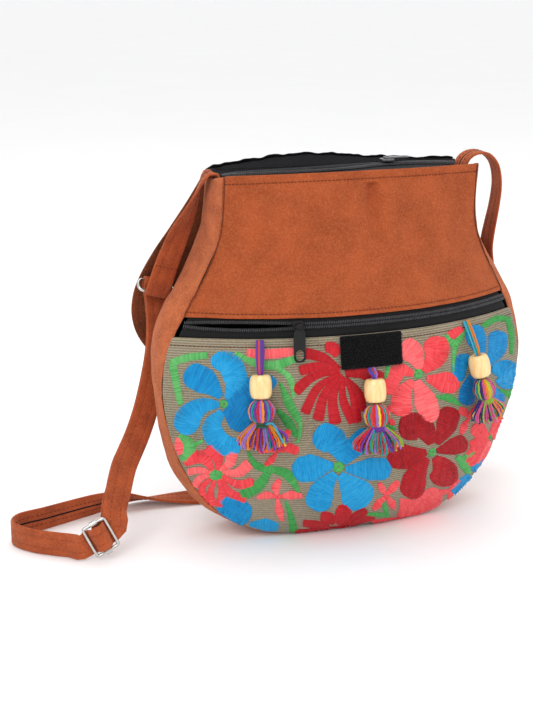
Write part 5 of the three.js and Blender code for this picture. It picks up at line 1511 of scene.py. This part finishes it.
def spun_yarn_tree():
    """Round yarn along every line, as thick as the line carries."""
    tree, given, out = start_tree("spun_yarn", Sides="Int", Material="Material")
    run = add_node(tree, "GeometryNodeMeshToCurve")
    girth = add_node(tree, "GeometryNodeInputNamedAttribute", data_type="FLOAT", Name="girth")
    ring = add_node(tree, "GeometryNodeCurvePrimitiveCircle", Radius=0.5)
    body = add_node(tree, "GeometryNodeCurveToMesh", Fill_Caps=True)
    link(tree, (given, "Geometry", run, "Mesh"), (given, "Sides", ring, "Resolution"),
         (run, "Curve", body, "Curve"), (ring, "Curve", body, "Profile Curve"),
         (girth, "Attribute", body, "Scale"))
    return end_tree(tree, given, out, body, "Mesh")


SPUN_YARN = spun_yarn_tree()


class Hank:
    """Yarns gathered for one tassel piece, each two plies twisted together."""

    def __init__(self):
        self.runs, self.girths, self.dyes = [], [], []

    def add(self, points, colour, girth, twist=0.0045):
        rows = flowing(points, max(6, int(len(points) * 2.2)))
        ahead = unit_rows(np.gradient(rows, axis=0))
        aside = unit_rows(np.cross(ahead, (0.31, 0.94, 0.12)))
        other = np.cross(ahead, aside)
        length = np.r_[0, np.cumsum(np.linalg.norm(np.diff(rows, axis=0), axis=1))]
        shade = chance.uniform(0.82, 1.1)
        tone = [min(1.0, part * shade) for part in dye(*YARN[colour])[:3]]
        for ply in (0.0, math.pi):
            turn = 2 * math.pi * length / twist + ply
            twisted = rows + 0.13 * girth * (np.cos(turn)[:, None] * aside + np.sin(turn)[:, None] * other)
            self.runs.append([Vector(p) for p in twisted])
            self.girths.append([0.82 * girth] * len(rows))
            self.dyes.append([tone] * len(rows))

    def spin(self, name, node):
        lines = guide(name, self.runs, girth=self.girths, dye=self.dyes)
        yarn = grown(lines, SPUN_YARN, Sides=5, Material=yarn_look)
        dress(yarn, node)


def add_tassel(name, form):
    """Hanger, bead and ball with its skirt, hung against the pocket."""
    size = form["size"]
    bead = lie_on(pocket_face, *form["bead"], BEAD_RADIUS + CLEAR)
    ball = lie_on(pocket_face, *form["ball"], BALL_RADIUS + CLEAR)[0]
    up = (bead[0] - ball).normalized()
    out = (bead[1] - up * bead[1].dot(up)).normalized()
    along = up.cross(out)
    start = lie_on(pocket_face, *form["top"], 0.0012)[0]
    bead_top = bead[0] + up * BEAD_TALL / 2

    hanger = Hank()
    for k, colour in enumerate(form["hanger"]):
        off = along * (k - 1.5) * 1.3
        deep = out * (0.0006 if k % 2 else 0.0)
        hanger.add([
            start + off * 0.0011 + up * 0.0006 + deep,
            start.lerp(bead_top, 0.5) + off * 0.0012 + deep + out * 0.001,
            bead_top + up * 0.003 + off * 0.0009 + deep,
            bead_top - up * 0.002 + off * 0.0006,
            ball + up * (BALL_TALL / 2 + 0.0004) + off * 0.0004], colour, HANGER_GIRTH)
    hanger.spin("yarn_hanger_" + name, "hanger_" + name)

    half = BEAD_TALL / 2
    profile = [(BEAD_BORE, -half + BEAD_CHAMFER), (BEAD_BORE + BEAD_CHAMFER, -half)]
    for i in range(13):
        turn = math.pi * (i / 12 - 0.5)
        level = math.copysign(abs(math.sin(turn)) ** 0.9, math.sin(turn))
        profile.append((BEAD_END + (BEAD_RADIUS - BEAD_END) * abs(math.cos(turn)) ** 0.7, level * half))
    profile += [(BEAD_BORE + BEAD_CHAMFER, half), (BEAD_BORE, half - BEAD_CHAMFER)]
    wood = assembled("wood_bead_" + name, [turned(profile, 32)], wood_look, along, out, up, bead[0])
    dress(wood, "bead_" + name)

    tuft = Hank()
    colours = form["colours"]
    for k in range(BALL_STRANDS):
        around = 2 * math.pi * (k + chance.uniform(-0.2, 0.2)) / BALL_STRANDS
        aside = along * math.cos(around) + out * math.sin(around)
        run = []
        for step in range(9):
            fall = math.pi * (0.04 + 0.90 * step / 8)
            girth = max(math.sin(fall) * (BALL_RADIUS - 0.0010) * size, 0.0046 * size * step / 8)
            level = up * math.cos(fall) * (BALL_TALL / 2 - 0.0003)
            run.append(ball + level + aside * girth * chance.uniform(0.96, 1.03))
        tuft.add(run, colours[int(k * 3 / 2) % len(colours)], 0.0026 * size, 0.012)
    waist = ball - up * (BALL_TALL / 2 + 0.0004)
    for wrap in range(3):
        ring = []
        for step in range(13):
            around = 2 * math.pi * step / 12
            aside = along * math.cos(around) + out * math.sin(around)
            ring.append(waist + aside * 0.0056 * size + up * 0.0013 * (wrap - 1))
        tuft.add(ring, form["tie"], TIE_GIRTH, 0.005)
    for k in range(SKIRT_STRANDS):
        share = (k + 0.5) / SKIRT_STRANDS * 2 - 1
        fan = share * 0.82 + chance.uniform(-0.07, 0.07)
        deep = chance.uniform(-0.28, 0.28)
        fall = (-up + along * math.tan(fan) + out * deep).normalized()
        long = 0.0205 * size * chance.uniform(0.86, 1.02)
        root = waist + along * share * 0.0050 * size + out * deep * 0.012
        bend = along * chance.uniform(-0.0016, 0.0016) + out * chance.uniform(-0.0012, 0.0012)
        swing = along * share * 0.0034 * size
        run = [root + up * 0.002, root + fall * long * 0.33 + swing + bend * 0.6,
               root + fall * long * 0.68 + swing + bend, root + fall * long]
        tuft.add(run, chance.choice(colours), 0.0016 * size, 0.009)
    if form.get("loose"):
        tuft.add([
            waist + along * 0.002 + out * 0.004, waist + along * 0.007 + out * 0.007 + up * 0.002,
            waist + along * 0.012 + out * 0.006 - up * 0.006,
            waist + along * 0.0155 + out * 0.005 - up * 0.014], form["loose"], LOOSE_GIRTH, 0.009)
    tuft.spin("yarn_tassel_" + name, "tassel_" + name)


for name, form in TASSELS.items():
    add_tassel(name, form)
